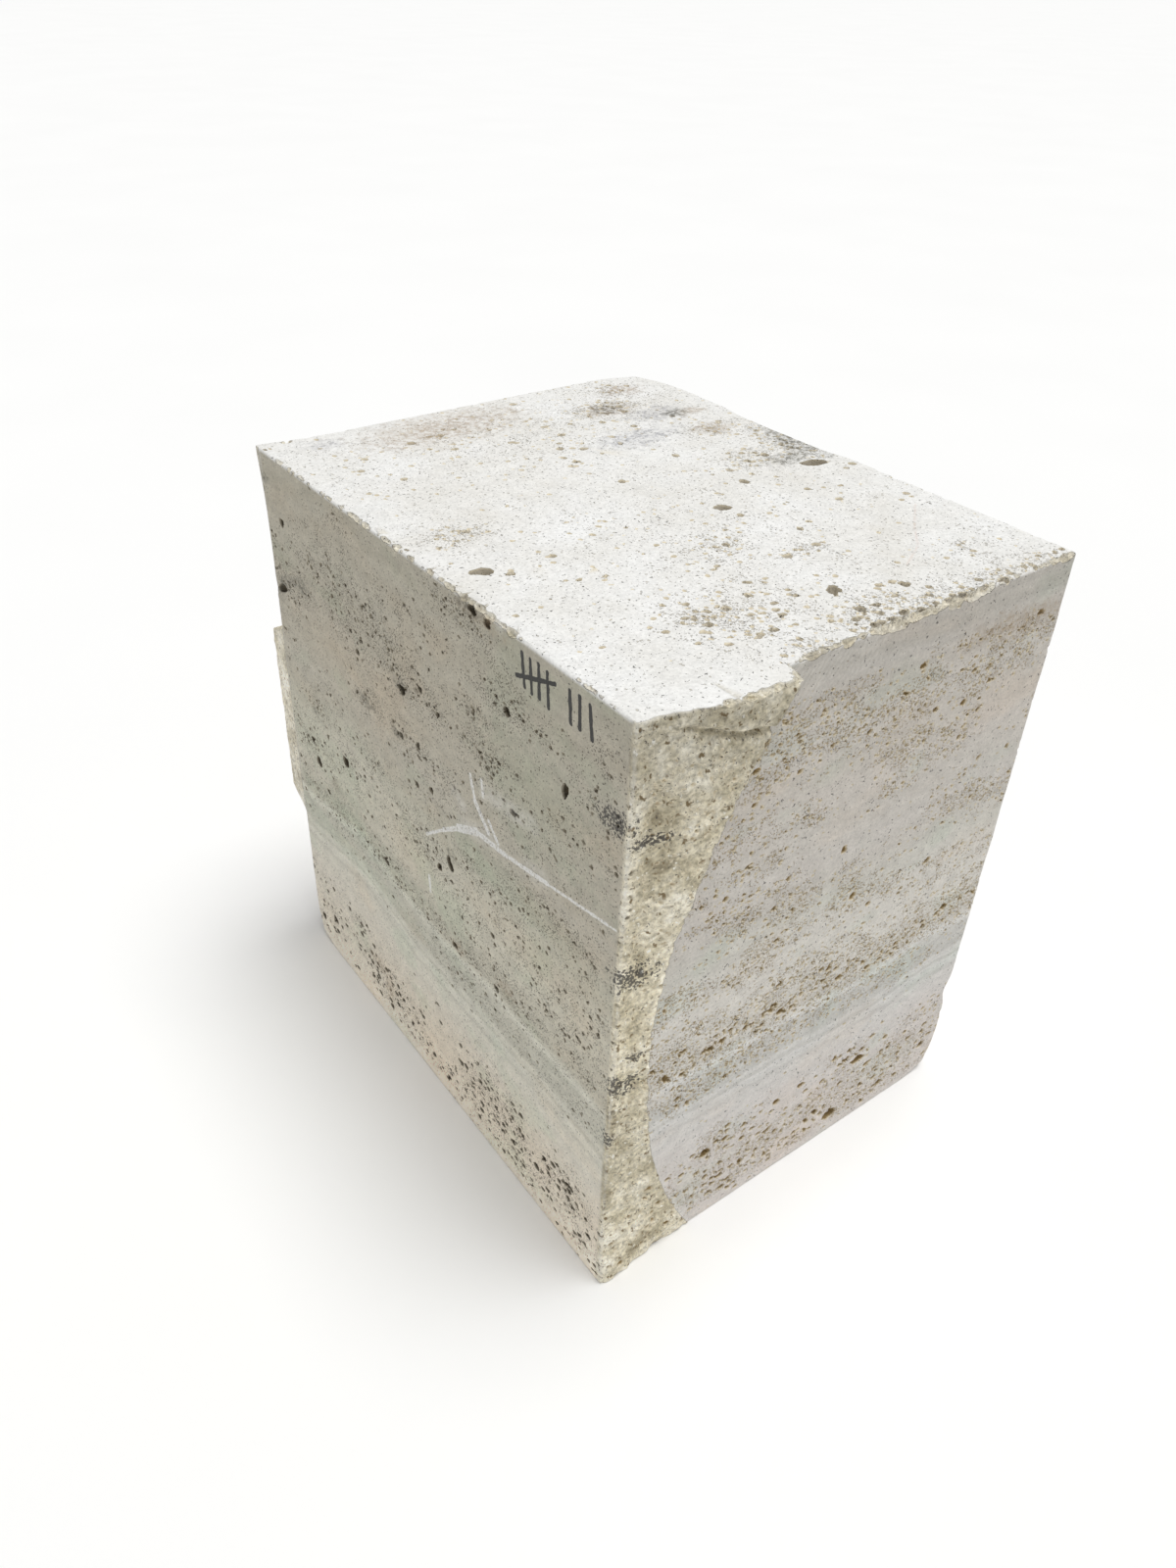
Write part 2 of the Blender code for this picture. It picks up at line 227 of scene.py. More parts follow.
# Turn of the lattices, so that their rows do not run along the faces
LATTICE_TURN = np.array([[0.36, 0.48, -0.80], [-0.80, 0.60, 0.00], [0.48, 0.64, 0.60]])

# Clusters of open pores on each face, in thousandths: middle across and up it, half size across
# and up, and open share
OPEN_PLACES = {
    "front": (
        (-30, 497, 50, 6, 80), (-10, 469, 80, 16, 170), (140, 473, 45, 18, 120),
        (-92, 449, 12, 10, 210), (60, 428, 26, 12, 150), (104, 429, 18, 7, 120),
        (-32, 402, 18, 7, 180), (-82, 381, 24, 7, 210), (48, 399, 14, 6, 180),
        (130, 377, 60, 7, 40), (-94, 353, 32, 7, 210), (-98, 333, 16, 14, 180),
        (-42, 325, 20, 10, 340), (18, 317, 12, 14, 240), (150, 348, 50, 14, 140),
        (-146, 292, 22, 12, 240), (-98, 280, 30, 6, 270), (-60, 294, 20, 10, 300),
        (48, 293, 30, 9, 210), (-150, 245, 25, 12, 180), (-80, 232, 90, 24, 150),
        (20, 250, 48, 14, 110), (20, 213, 200, 12, 240), (178, 232, 24, 26, 240),
        (-100, 181, 70, 14, 120), (60, 180, 120, 13, 80), (-88, 93, 14, 12, 270),
        (70, 93, 22, 11, 240), (20, 45, 160, 32, 140),
    ),
    "side": (
        (-60, 525, 34, 7, 310), (112, 526, 22, 6, 140), (12, 497, 36, 5, 100),
        (-114, 484, 34, 9, 260), (-228, 497, 20, 7, 150), (90, 452, 70, 26, 190),
        (14, 435, 32, 16, 220), (-28, 429, 10, 7, 340), (-78, 457, 12, 7, 340),
        (-92, 427, 22, 9, 270), (-234, 461, 16, 7, 200), (215, 425, 36, 12, 240),
        (86, 380, 16, 8, 340), (-6, 377, 54, 8, 150), (-90, 315, 45, 13, 180),
        (-190, 338, 65, 14, 130), (180, 315, 8, 8, 340), (84, 317, 22, 7, 260),
        (132, 287, 12, 8, 340), (205, 270, 45, 9, 200), (4, 287, 34, 18, 220),
        (-58, 262, 34, 18, 130), (-190, 270, 60, 45, 80), (-76, 214, 50, 9, 110),
        (58, 214, 34, 12, 200), (180, 213, 60, 14, 120), (-120, 180, 120, 20, 60),
        (148, 88, 10, 6, 270), (100, 55, 60, 18, 200), (-90, 65, 30, 18, 210),
        (-130, 55, 16, 24, 270), (-200, 60, 30, 20, 250), (-130, 30, 100, 20, 80),
    ),
    "top": (
        (-62, -190, 46, 30, 140), (20, -236, 30, 24, 260), (-54, -240, 16, 8, 220),
        (110, -244, 90, 10, 240), (-14, -105, 22, 16, 190), (36, -140, 18, 6, 260),
        (-92, -176, 10, 8, 240), (-154, 14, 20, 14, 220), (136, 12, 30, 14, 220),
        (150, 84, 20, 14, 220), (106, 178, 30, 16, 240), (188, 30, 18, 40, 260),
        (140, 218, 20, 10, 200), (140, -200, 30, 12, 120), (20, 160, 160, 70, 50),
        (0, -70, 130, 100, 25),
    ),
    "base": (
        (120, 160, 80, 80, 50), (-120, -170, 80, 80, 50), (20, 0, 120, 120, 20),
    ),
}
# Axes that run across and up each face
FACE_AXES = {
    "front": (0, 2), "back": (0, 2), "side": (1, 2), "right": (1, 2),
    "top": (0, 1), "base": (0, 1),
}

# Larger pits along the beds: lowest and highest z, pits tried on a side face, size range
PIT_BEDS = (
    (0.014, 0.06, 12, 0.006, 0.011), (0.06, 0.102, 7, 0.005, 0.0085),
    (0.204, 0.232, 10, 0.0055, 0.0085), (0.24, 0.306, 6, 0.005, 0.0085),
    (0.318, 0.362, 6, 0.005, 0.0075), (0.372, 0.39, 4, 0.005, 0.007),
    (0.4, 0.445, 4, 0.005, 0.007), (0.45, 0.5, 5, 0.005, 0.0075),
)
FACE_SHARES = (("front", 1.0), ("side", 0.42), ("right", 0.45), ("back", 0.45))
# Larger pits on the cross-cut faces: middle, half spread, pits tried, size range
TOP_CLUSTERS = (
    (-0.06, -0.188, 0.045, 0.034, 18, 0.0042, 0.0074),
    (0.03, -0.22, 0.042, 0.016, 9, 0.0044, 0.008), (0.04, 0.12, 0.12, 0.09, 5, 0.005, 0.007),
    (0.0, -0.06, 0.15, 0.1, 4, 0.005, 0.006),
)
BASE_CLUSTERS = (
    (0.12, 0.16, 0.05, 0.05, 3, 0.006, 0.009), (-0.12, -0.17, 0.05, 0.05, 3, 0.006, 0.009),
)
# Single large pits on each face, in mm: place across and up the face, width and height
LARGE_PITS = {
    "top": (
        (-170, -46, 15, 12), (-156, -59, 7, 6), (40, -52, 14, 11), (90, -23, 6, 9),
        (166, -23, 21, 12), (10, -196, 12, 11), (-4, -244, 7, 6), (12, -245, 6, 5),
        (25, -243, 9, 7), (38, -246, 6, 5), (52, -246, 7, 5), (64, -247, 5, 4), (79, -247, 8, 5),
        (101, -248, 6, 4), (122, -248, 6, 5), (154, -248, 5, 4),
    ),
    "side": (
        (-81, 534, 10, 8), (-98, 533, 8, 7), (-186, 455, 6, 12), (-38, 293, 8, 13),
        (200, 253, 12, 10), (140, 287, 10, 9), (24, 421, 11, 8), (236, 418, 20, 9),
    ),
    "front": (
        (-96, 86, 13, 12), (84, 82, 18, 9), (60, 24, 16, 10), (4, 358, 6, 8),
    ),
}
PIT_GAP = 1.25
PIT_MARGIN = 0.007
PIT_SINK = 0.22
PIT_DEPTH_SHARE = 0.62
PIT_HEIGHTS = (0.6, 0.95)
PIT_TILT = 0.35
PIT_SEED = 7
DENT_DEPTH = 0.32
DENT_SIZE = 0.85
DENT_SEEDS = 997

# Crumbled stretches of edge, in mm: ends of the stretch, chips along it and their largest size
CRUMBS = (
    ((-80, -250, 540), (196, -250, 540), 120, 4.8), ((-10, -251, 538), (130, -251, 538), 60, 6.6),
    ((-194, -254, 540), (-150, -262, 540), 16, 3.6),
    ((-150, -262, 540), (-92, -266, 540), 24, 4.2), ((-93, -267, 540), (-83, -262, 540), 12, 6),
    ((-86, -266, 540), (-83, -252, 540), 12, 5), ((-200, -235, 540), (-200, 230, 540), 100, 4.2),
    ((-200, -120, 540), (-200, -60, 540), 10, 5), ((-200, -250, 530), (-200, -250, 20), 50, 2.8),
    ((200, -230, 540), (200, 230, 540), 40, 4), ((200, -250, 520), (200, -250, 20), 30, 3.4),
    ((-190, 250, 540), (180, 250, 540), 30, 4), ((200, 250, 500), (200, 250, 20), 30, 4),
    ((-200, 250, 520), (-200, 250, 380), 10, 3.4),
)
CHIP_SIZES = (0.35, 1.0)
CHIP_SIZE_POWER = 1.5
CHIP_SINK = (0.1, 0.5)
CHIP_LENGTHS = (0.9, 1.8)

# Tones of the beds, partly painted light: darker up the block and lighter towards its foot, as
# light falls on the walls; height in mm and screen tone 0..255
BED_TONES_AND_LIGHT = (
    (0, 238, 231, 225), (30, 233, 226, 219), (70, 230, 223, 216), (110, 231, 226, 221),
    (137, 231, 228, 223), (141, 219, 216, 211), (145, 229, 227, 222), (152, 233, 231, 227),
    (155, 212, 210, 203), (158, 224, 222, 217), (163, 226, 224, 219), (166, 210, 208, 202),
    (188, 208, 206, 200), (193, 208, 206, 200), (197, 224, 222, 217), (201, 221, 219, 213),
    (207, 206, 202, 194), (230, 204, 200, 192), (244, 211, 207, 199), (292, 209, 205, 197),
    (312, 203, 200, 191), (338, 198, 193, 185), (357, 201, 196, 189), (388, 196, 191, 183),
    (415, 198, 192, 184), (440, 192, 186, 177), (472, 195, 190, 182), (498, 192, 186, 177),
    (512, 195, 190, 182), (520, 188, 183, 174), (540, 194, 189, 181),
)
# How strongly the thin lines along the beds show at each height in mm
BED_LINES = (
    (0, 0.02), (120, 0.022), (140, 0.06), (200, 0.05), (230, 0.03), (300, 0.025), (480, 0.03),
    (505, 0.055), (540, 0.06),
)
# How much lighter the front and the side are than the bed tones at each height in mm: partly
# their own tone, partly painted light, with the side painted lighter towards the floor as bounced
# light and the front painted darker at its foot as shadow
FRONT_TONE_AND_LIGHT = (
    (0, 0.93), (100, 0.93), (150, 0.93), (180, 1.04), (220, 1.2), (300, 1.14), (350, 1.15),
    (440, 1.2), (480, 1.18), (510, 1.08), (540, 1.04),
)
SIDE_TONE_AND_LIGHT = (
    (0, 1.4), (30, 1.27), (60, 1.12), (100, 1.04), (150, 0.98), (180, 1.03), (260, 1.08),
    (340, 1.02), (540, 1.01),
)
PINK_CAST = (1.020, 0.990, 0.965, 1.0)
GREEN_CAST = (0.945, 0.985, 0.960, 1.0)
# Pink and green-grey parts of the side face, in mm: middle and half size
PINK_PLACES = thousandths((
    (-200, 30, 265, 12, 45, 34), (-200, 110, 395, 12, 120, 40), (-200, -160, 285, 12, 90, 26),
    (-200, -80, 60, 12, 200, 60),
))
GREEN_PLACES = thousandths((
    (-200, 180, 270, 12, 100, 32), (-200, 120, 215, 12, 150, 20), (-200, -40, 240, 12, 36, 34),
    (-200, -130, 330, 12, 90, 20), (-200, -150, 430, 12, 80, 55), (-200, 160, 178, 12, 150, 16),
))

# Ink tally on the side face, in mm: from and to as (y, z)
INK = thousandths((
    (-138, 531, -141, 508), (-147, 530, -149, 507), (-156, 531, -157, 508), (-165, 530, -167, 506),
    (-132, 512, -173, 526), (-188, 529, -190, 507), (-198, 530, -199, 508), (-208, 529, -211, 507),
))
INK_WIDTH = 0.0029

# Distance between neighbouring saw grooves
SAW_PITCH = 0.0042

# Bruised foot of the ledge and scratches on the side face, in mm: from and to as (y, z), width
SIDE_SCRATCHES = thousandths((
    (-2.5, 300, -30, 322, 1.8), (-30, 322, -55, 340, 3), (-53, 339, -79, 352, 6.2),
    (-78, 352, -115, 356, 3.6), (-115, 356, -170, 366.5, 2.6), (-170, 366.5, -244, 381.5, 1.2),
    (-72.5, 400, -77.5, 380, 2.5), (-77.5, 380, -95, 362, 4.2), (-87.5, 404, -89, 390, 2.1),
    (-96, 372.5, -108, 360, 2.6), (-3, 256, -3.5, 240, 2.5),
))
SIDE_SMEARS = thousandths((
    (-50, 371, -61, 364, 2), (-60, 347, -100, 357, 4), (-145, 364, -164, 368, 4),
    (-90, 395, -150, 405, 6),
))
# White scuffs and a pink vein on the top, in mm: from and to as (x, y), and width
TOP_SCUFFS = thousandths((
    (-196, -112, -128, -156, 6), (-190, -128, -150, -150, 4), (-60, 105, -10, 112, 4),
    (-62, 104, -64, 60, 3), (-20, 70, -6, 0, 6), (60, 66, 100, 0, 6), (130, -214, 196, -214, 3),
))
PINK_VEIN = thousandths((
    (82, -196, 112, -180, 0.6), (112, -180, 136, -156, 0.8), (136, -156, 172, -126, 0.6),
))

# Speckled stains, in mm: middle and half size
GREY_STAINS = thousandths((
    (-152, 226, 540, 18, 15, 14), (134, 140, 540, 36, 20, 14), (80, 100, 540, 50, 22, 14),
))
BROWN_STAINS = thousandths((
    (148, 210, 540, 24, 18, 14), (102, 172, 540, 30, 20, 14), (26, 218, 540, 10, 14, 14),
    (164, 130, 540, 18, 10, 14), (152, 84, 540, 22, 16, 14), (-50, 210, 540, 90, 40, 14),
    (150, -250, 499, 55, 12, 14), (-200, 90, 42, 12, 10, 20), (-200, 110, 65, 12, 20, 10),
    (-200, -116, 220, 12, 14, 10), (-200, -45, 208, 12, 12, 10), (-200, -90, 533, 12, 40, 6),
))
# The two on the top by its right edge, at (188, 20) and (160, -4), are partly dirt and partly
# painted shade
DARK_STAINS_AND_SHADE = thousandths((
    (188, 20, 540, 20, 46, 14), (160, -4, 540, 36, 14, 14), (104, 176, 540, 20, 14, 14),
    (150, 134, 540, 16, 10, 14), (-200, 246, 413, 12, 12, 10), (-200, 232, 423, 12, 12, 9),
    (-200, 222, 430, 12, 10, 8), (-200, 196, 436, 12, 18, 10), (-200, 244, 517, 12, 10, 6),
    (-200, -78, 534, 12, 18, 6), (-200, 24, 424, 12, 14, 8), (-200, 85, 378, 12, 14, 7),
    (-200, 36, 376, 12, 12, 5), (-200, -40, 304, 12, 10, 8), (-200, 195, 312, 12, 8, 6),
))
# Dark mineral beside the near corner, in mm: middle and half size
MINERALS = thousandths((
    (-200, -236, 464, 14, 22, 12), (-186, -254, 452, 22, 14, 7), (-192, -252, 342, 23, 18, 15),
    (-184, -260, 262, 12, 14, 7), (-194, -254, 236, 20, 18, 13), (-200, -250, 180, 12, 14, 10),
))

# Camera: place, turn in degrees, lens in millimetres and shift of the frame
CAMERA_PLACE = (-0.5527, -0.6596, 0.8896)
CAMERA_TURN = (54.69, -1.17, -35.52)
CAMERA_LENS = 27.03
CAMERA_SHIFT = (0.0179, -0.0095)
LIGHT_AWAY = 3.0


# ---------------------------------------------------------------- shape, as whole arrays


def lattice(i, j, k, seed):
    """Fixed pseudo-random value in -1..1 for each whole-number corner."""
    mixed = (i * 374761393 + j * 668265263 + k * 974634777 + seed * 69069) & 0xFFFFFFFF
    mixed = ((mixed ^ (mixed >> 13)) * 1274126177) & 0xFFFFFFFF
    return (mixed ^ (mixed >> 16)) / 2147483648.0 - 1.0


def smooth_noise(points, size, seed):
    """Value noise: lattice values blended over each cell by the quintic fade."""
    turned = points @ LATTICE_TURN.T / size
    cell = np.floor(turned).astype(np.int64)
    part = turned - cell
    fade = part ** 3 * (part * (part * 6 - 15) + 10)
    total = np.zeros(len(points))
    for dx in (0, 1):
        for dy in (0, 1):
            for dz in (0, 1):
                weight = np.abs(1 - dx - fade[:, 0]) * np.abs(1 - dy - fade[:, 1])
                weight = weight * np.abs(1 - dz - fade[:, 2])
                corner = lattice(cell[:, 0] + dx, cell[:, 1] + dy, cell[:, 2] + dz, seed)
                total += weight * corner
    return total


def layered_noise(points, size, seed, layers):
    """Smooth noise summed over layers of half the size and half the strength."""
    total = np.zeros(len(points))
    for layer in range(layers):
        total += smooth_noise(points, size / 2 ** layer, seed + layer) / 2 ** layer
    return total


def ramp(value, start, end):
    """Smoothstep from 0 at start to 1 at end, which may lie below start."""
    share = np.clip((value - start) / (end - start), 0.0, 1.0)
    return share * share * (3 - 2 * share)


def between(value, starts, full_from, full_to, ends):
    """Smoothstep up from starts to full_from, and down again from full_to to ends."""
    return ramp(value, starts, full_from) * ramp(value, ends, full_to)


def near(points, place, reach):
    """Bell of height 1 round a place: exp(-(distance / reach) squared)."""
    gap = points - np.array(place)
    return np.exp(-np.sum(gap * gap, axis=1) / reach ** 2)


def near_line(points, across, level, axis, reach):
    """Bell round the top edge that runs where the given axis equals across."""
    gap = (points[:, axis] - across) ** 2 + (points[:, 2] - level) ** 2
    return np.exp(-gap / reach ** 2)


def wear_radius(points, shape):
    """Radius rubbed off the edges at each place: a small one everywhere, larger at chips."""
    varied = layered_noise(points, WEAR_PATCH, SEED["wear"], 2)
    radius = shape.edge_wear * (1 + WEAR_VARIES * varied)
    radius += CORNER_RUB * near(points, HIGH, CORNER_REACH)
    for corner in ((LOW[0], HIGH[1]), (HIGH[0], LOW[1]), (HIGH[0], HIGH[1])):
        radius += FOOT_RUB * near(points, (*corner, LOW[2]), FOOT_REACH)
    nibbled = between(points[:, 1], *NIBBLE_RUN)
    radius += EDGE_NIBBLE * nibbled * near_line(points, HIGH[0], HIGH[2], 0, NIBBLE_REACH)
    radius += NOTCH_DEPTH * near(points, (HIGH[0], LOW[1], NOTCH_Z), NOTCH_REACH)
    crumbled = ramp(points[:, 0], *CRUMBLE_RUN)
    crumbled = crumbled * near_line(points, LOW[1], HIGH[2], 1, CRUMBLE_REACH)
    varied = layered_noise(points, CRUMBLE_PATCH, SEED["crumble"], 2)
    radius += crumbled * (CRUMBLE_DEPTH + CRUMBLE_VARIES * varied)
    return np.clip(radius, LEAST_WEAR, MOST_WEAR)


def strip_end(z):
    """Distance from the near corner to the blade's arc on the front, at height z."""
    return BLADE_CENTRE_X - np.sqrt(BLADE_RADIUS ** 2 - (z - BLADE_CENTRE_Z) ** 2) - LOW[0]


def patch_end(z):
    """Distance from the side face to the arc that ends the patch on the back, at height z."""
    return PATCH_REACH - (z - PATCH_MIDDLE_Z) ** 2 / (2 * BLADE_RADIUS)


def flat_on_face(points):
    """The points without their depth, for noise that is the same all the way through."""
    return points * np.array([1.0, 0.0, 1.0])


def broken_grain(points, seed):
    """Fine relief of broken stone: noise folded into ridges, at three sizes."""
    relief = np.zeros(len(points))
    for step, (size, height) in enumerate(BROKEN_RIDGES):
        relief += height * (1 - 2 * np.abs(smooth_noise(points, size, seed + step)))
    return relief


def strip_proud(points, shape):
    """Height of the front strip: a falling-off rise away from the near corner, lower at the
    foot, with lumps, a crack under its top, fine relief, and nothing past the blade's arc."""
    reach = points[:, 0] - LOW[0]
    rise = 1 - np.exp(-np.maximum(reach - STRIP_STARTS, 0.0) / STRIP_RISE)
    level = STRIP_FOOT_SHARE + (1 - STRIP_FOOT_SHARE) * ramp(points[:, 2], 0.0, STRIP_FULL_Z)
    face = flat_on_face(points)
    lumps = layered_noise(face, STRIP_LUMP_SIZE, SEED["strip"], 3)
    lumps = STRIP_LUMP * lumps * ramp(reach, 0.0, STRIP_LUMPS_FROM)
    lobe = LOBE_PROUD * near(points, (LOW[0] + LOBE_IN, LOW[1], LOBE_Z), LOBE_REACH)
    proud = STRIP_PROUD * rise * level + lumps + lobe
    bend = np.clip((CRACK_X - points[:, 0]) / CRACK_HALF, *CRACK_BEND)
    crack = points[:, 2] - (CRACK_Z + CRACK_SAG * bend ** 2)
    crack = crack - CRACK_WAVER * smooth_noise(face, CRACK_WAVER_SIZE, SEED["crack"])
    proud -= CRACK_DEPTH * ramp(reach, *CRACK_STARTS) * np.exp(-(crack / CRACK_WIDTH) ** 2)
    relief = broken_grain(face, SEED["strip relief"]) * shape.broken_relief
    proud += relief * ramp(reach, 0.0, RELIEF_STARTS)
    return np.where(reach <= strip_end(points[:, 2]) + ON_LINE, proud, 0.0)


def patch_proud(points, shape):
    """Height of the back patch: a quarter ellipse up from the corner, then flat with lumps and
    fine relief, ended sharply above and below, plus a small lobe at the top corner."""
    reach = points[:, 0] - LOW[0]
    height = points[:, 2]
    level = between(
        height, PATCH_FOOT_Z, PATCH_FOOT_Z + PATCH_END, PATCH_HEAD_Z - PATCH_END, PATCH_HEAD_Z)
    short = np.clip(1 - reach / PATCH_SHOULDER, 0.0, 1.0)
    face = flat_on_face(points)
    lumps = layered_noise(face, PATCH_LUMP_SIZE, SEED["patch"], 3)
    rise = PATCH_PROUD + (2 * lumps - 2) * STRIP_LUMP * ramp(reach, *PATCH_LUMPS)
    rise += broken_grain(face, SEED["patch relief"]) * shape.broken_relief
    proud = rise * np.sqrt(1 - short * short) * level
    proud = np.where(reach <= patch_end(height) + ON_LINE, proud, 0.0)
    top_lobe = -(reach / TOP_LOBE_WIDE) ** 2 - ((height - HEIGHT) / TOP_LOBE_HIGH) ** 2
    return proud + TOP_LOBE_PROUD * np.exp(top_lobe)


def weather(points, shape):
    """Carry points of the plain sawn box to the worn block.

    The edges are rounded by pulling each point back to the box shrunk by the wear radius and out
    again by that radius. The front strip and the back patch then push out along Y.
    """
    radius = wear_radius(points, shape)[:, None]
    inner = np.clip(points, LOW + radius, HIGH - radius)
    out = points - inner
    length = np.linalg.norm(out, axis=1)[:, None]
    worn = inner + out / np.maximum(length, 1e-9) * radius
    front_share = np.clip(1 - (points[:, 1] - LOW[1]) / SHARE_FADE, 0.0, 1.0)
    back_share = np.clip(1 - (HIGH[1] - points[:, 1]) / SHARE_FADE, 0.0, 1.0)
    worn[:, 1] -= strip_proud(points, shape) * front_share
    worn[:, 1] += patch_proud(points, shape) * back_share
    return worn


def ledge_depth(points, shape):
    """Depth of the saw ledge on the side face: deepest at its foot, fading out above it."""
    y = points[:, 1]
    along, level = np.array(LEDGE_LINE).T
    above = points[:, 2] - np.interp(y, along, level)
    fade = np.clip(1 - above / LEDGE_FADE, 0.0, 1.0) * (above > 0)
    ends = between(
        y, along[0], along[0] + LEDGE_ENDS[0], along[-1] - LEDGE_ENDS[1], along[-1])
    return shape.ledge_depth * fade * ends


def sawn_stations(length, cells):
    """Distances from 0 to length with fine cells beside both ends and even ones between."""
    fine = np.arange(EDGE_CELLS) * EDGE_CELL
    inner = EDGE_CELLS * EDGE_CELL
    middle = np.linspace(inner, length - inner, cells - 2 * EDGE_CELLS + 1)
    return np.concatenate([fine, middle, (length - fine)[::-1]])


def broken_stations(reach, cells, rough_cells, crowd):
    """Distances along a face for each row, where the rough part ends at a reach of its own:
    rough cells up to the arc, one short cell over the step, then even cells with fine ones
    beside the far edge."""
    rough = reach[:, None] * np.linspace(0.0, 1.0, rough_cells + 1)[None, :] ** crowd
    even = cells - rough_cells - 1 - EDGE_CELLS
    start = reach[:, None] + EDGE_CELL
    end = WIDTH - EDGE_CELLS * EDGE_CELL
    middle = start + (end - start) * np.linspace(0.0, 1.0, even + 1)[None, :]
    fine = WIDTH - np.arange(EDGE_CELLS)[::-1] * EDGE_CELL
    fine = np.repeat(fine[None, :], len(reach), axis=0)
    return np.concatenate([rough, middle, fine], axis=1)


def box_grid():
    """Points of the plain box, their outward directions and the quads between them.

    The walls are rings of points, one ring for each height, that run front, right, back, left.
    Top and base are grids whose borders are the last and the first ring.
    """
    rows = sawn_stations(HEIGHT, CELLS_Z)
    along = LOW[1] + sawn_stations(DEPTH, CELLS_Y)
    front = LOW[0] + broken_stations(strip_end(rows), CELLS_X, STRIP_CELLS, STRIP_CROWD)
    back = LOW[0] + broken_stations(patch_end(rows), CELLS_X, PATCH_CELLS, PATCH_CROWD)
    ring = 2 * (CELLS_X + CELLS_Y)
    walls = np.zeros((len(rows), ring, 3))
    out = np.zeros((len(rows), ring, 3))
    corners = np.cumsum([0, CELLS_X, CELLS_Y, CELLS_X, CELLS_Y])
    spans = [slice(corners[i], corners[i + 1]) for i in range(4)]
    walls[:, :, 2] = rows[:, None]
    walls[:, spans[0], 0] = front[:, :-1]
    walls[:, spans[0], 1] = LOW[1]
    walls[:, spans[1], 0] = HIGH[0]
    walls[:, spans[1], 1] = along[None, :-1]
    walls[:, spans[2], 0] = back[:, :0:-1]
    walls[:, spans[2], 1] = HIGH[1]
    walls[:, spans[3], 0] = LOW[0]
    walls[:, spans[3], 1] = along[None, :0:-1]
    for span, axis, sign in zip(spans, (1, 0, 1, 0), (-1, 1, 1, -1)):
        out[:, span, axis] = sign
    points, quads = [walls.reshape(-1, 3)], []
    directions = [out.reshape(-1, 3)]
    ids = np.arange(len(rows) * ring).reshape(len(rows), ring)
    turned = np.roll(ids, -1, axis=1)
    quads.append(np.stack([ids[:-1], turned[:-1], turned[1:], ids[1:]], axis=-1).reshape(-1, 4))
    share = np.linspace(0.0, 1.0, CELLS_Y + 1)[None, :]
    for row, sign in ((-1, 1.0), (0, -1.0)):
        across = front[row][:, None] * (1 - share) + back[row][:, None] * share
        cap = np.zeros((CELLS_X - 1, CELLS_Y - 1, 3))
        cap[..., 0] = across[1:-1, 1:-1]
        cap[..., 1] = along[None, 1:-1]
        cap[..., 2] = rows[row]
        grid = np.zeros((CELLS_X + 1, CELLS_Y + 1), dtype=np.int64)
        inner = np.arange(cap[..., 0].size).reshape(cap.shape[:2])
        grid[1:-1, 1:-1] = sum(len(part) for part in points) + inner
        border = ids[row]
        grid[:, 0] = border[: CELLS_X + 1]
        grid[CELLS_X, :] = border[CELLS_X: CELLS_X + CELLS_Y + 1]
        grid[:, CELLS_Y] = border[corners[2]: corners[3] + 1][::-1]
        grid[0, 1:] = border[corners[3]:][::-1]
        points.append(cap.reshape(-1, 3))
        directions.append(np.tile([0.0, 0.0, sign], (cap[..., 0].size, 1)))
        cell = [grid[:-1, :-1], grid[1:, :-1], grid[1:, 1:], grid[:-1, 1:]]
        cell = cell if sign > 0 else cell[::-1]
        quads.append(np.stack(cell, axis=-1).reshape(-1, 4))
    return np.concatenate(points), np.concatenate(directions), np.concatenate(quads)


def edge_distance(points):
    """Distance from each point of the plain box to the nearest edge of its face."""
    gaps = np.concatenate([points - LOW, HIGH - points], axis=1)
    return np.partition(gaps, 1, axis=1)[:, 1]


def open_share(points, zones):
    """Share of the stone that is open at each place, and how much of that is large pores.

    On the walls it follows the beds, whose height wavers, and their clusters. Top and base cut
    across the beds. On every face the listed clusters are bells on top of that.
    """
    waver = smooth_noise(points * np.array([1.0, 1.0, 0.3]), BED_WAVER_SIZE, SEED["beds"])
    level = points[:, 2] + BED_WAVER * waver
    share = np.full(len(points), BETWEEN_BEDS)
    for low, high, most in BEDS:
        inside = between(
            level, low - BED_EDGE, low + BED_EDGE, high - BED_EDGE, high + BED_EDGE)
        share = np.maximum(share, most * inside)
    squashed = points * np.array([1.0, 1.0, 1.6])
    cluster = layered_noise(squashed, CLUSTER_SIZE, SEED["clusters"], 2)
    cluster = ramp(cluster, *CLUSTER_ENDS)
    share = share * (CLUSTER_LEAST + CLUSTER_GAIN * cluster)
    coarse = ramp(level, COARSE_BELOW + BED_EDGE, COARSE_BELOW - BED_EDGE)
    large = FEW_LARGE + MANY_LARGE * coarse
    for zone in zones:
        face, ids = zone["face"], zone["ids"]
        if face in WALL_OPEN:
            share[ids] *= WALL_OPEN[face]
        else:
            share[ids] = CROSS_CUT_OPEN * cluster[ids]
            large[ids] = CROSS_CUT_LARGE
        if face == "front":
            coarse = between(level[ids], *COARSE_BED)
            share[ids] *= 1 + COARSE_MORE * coarse
            large[ids] = np.maximum(large[ids], COARSE_LARGE * coarse)
        over, rise = FACE_AXES[face]
        for across, up, half_across, half_up, most in thousandths(OPEN_PLACES.get(face, ())):
            gap = ((points[ids, over] - across) / half_across) ** 2
            gap += ((points[ids, rise] - up) / half_up) ** 2
            share[ids] += most * np.exp(-gap)
    return share, large


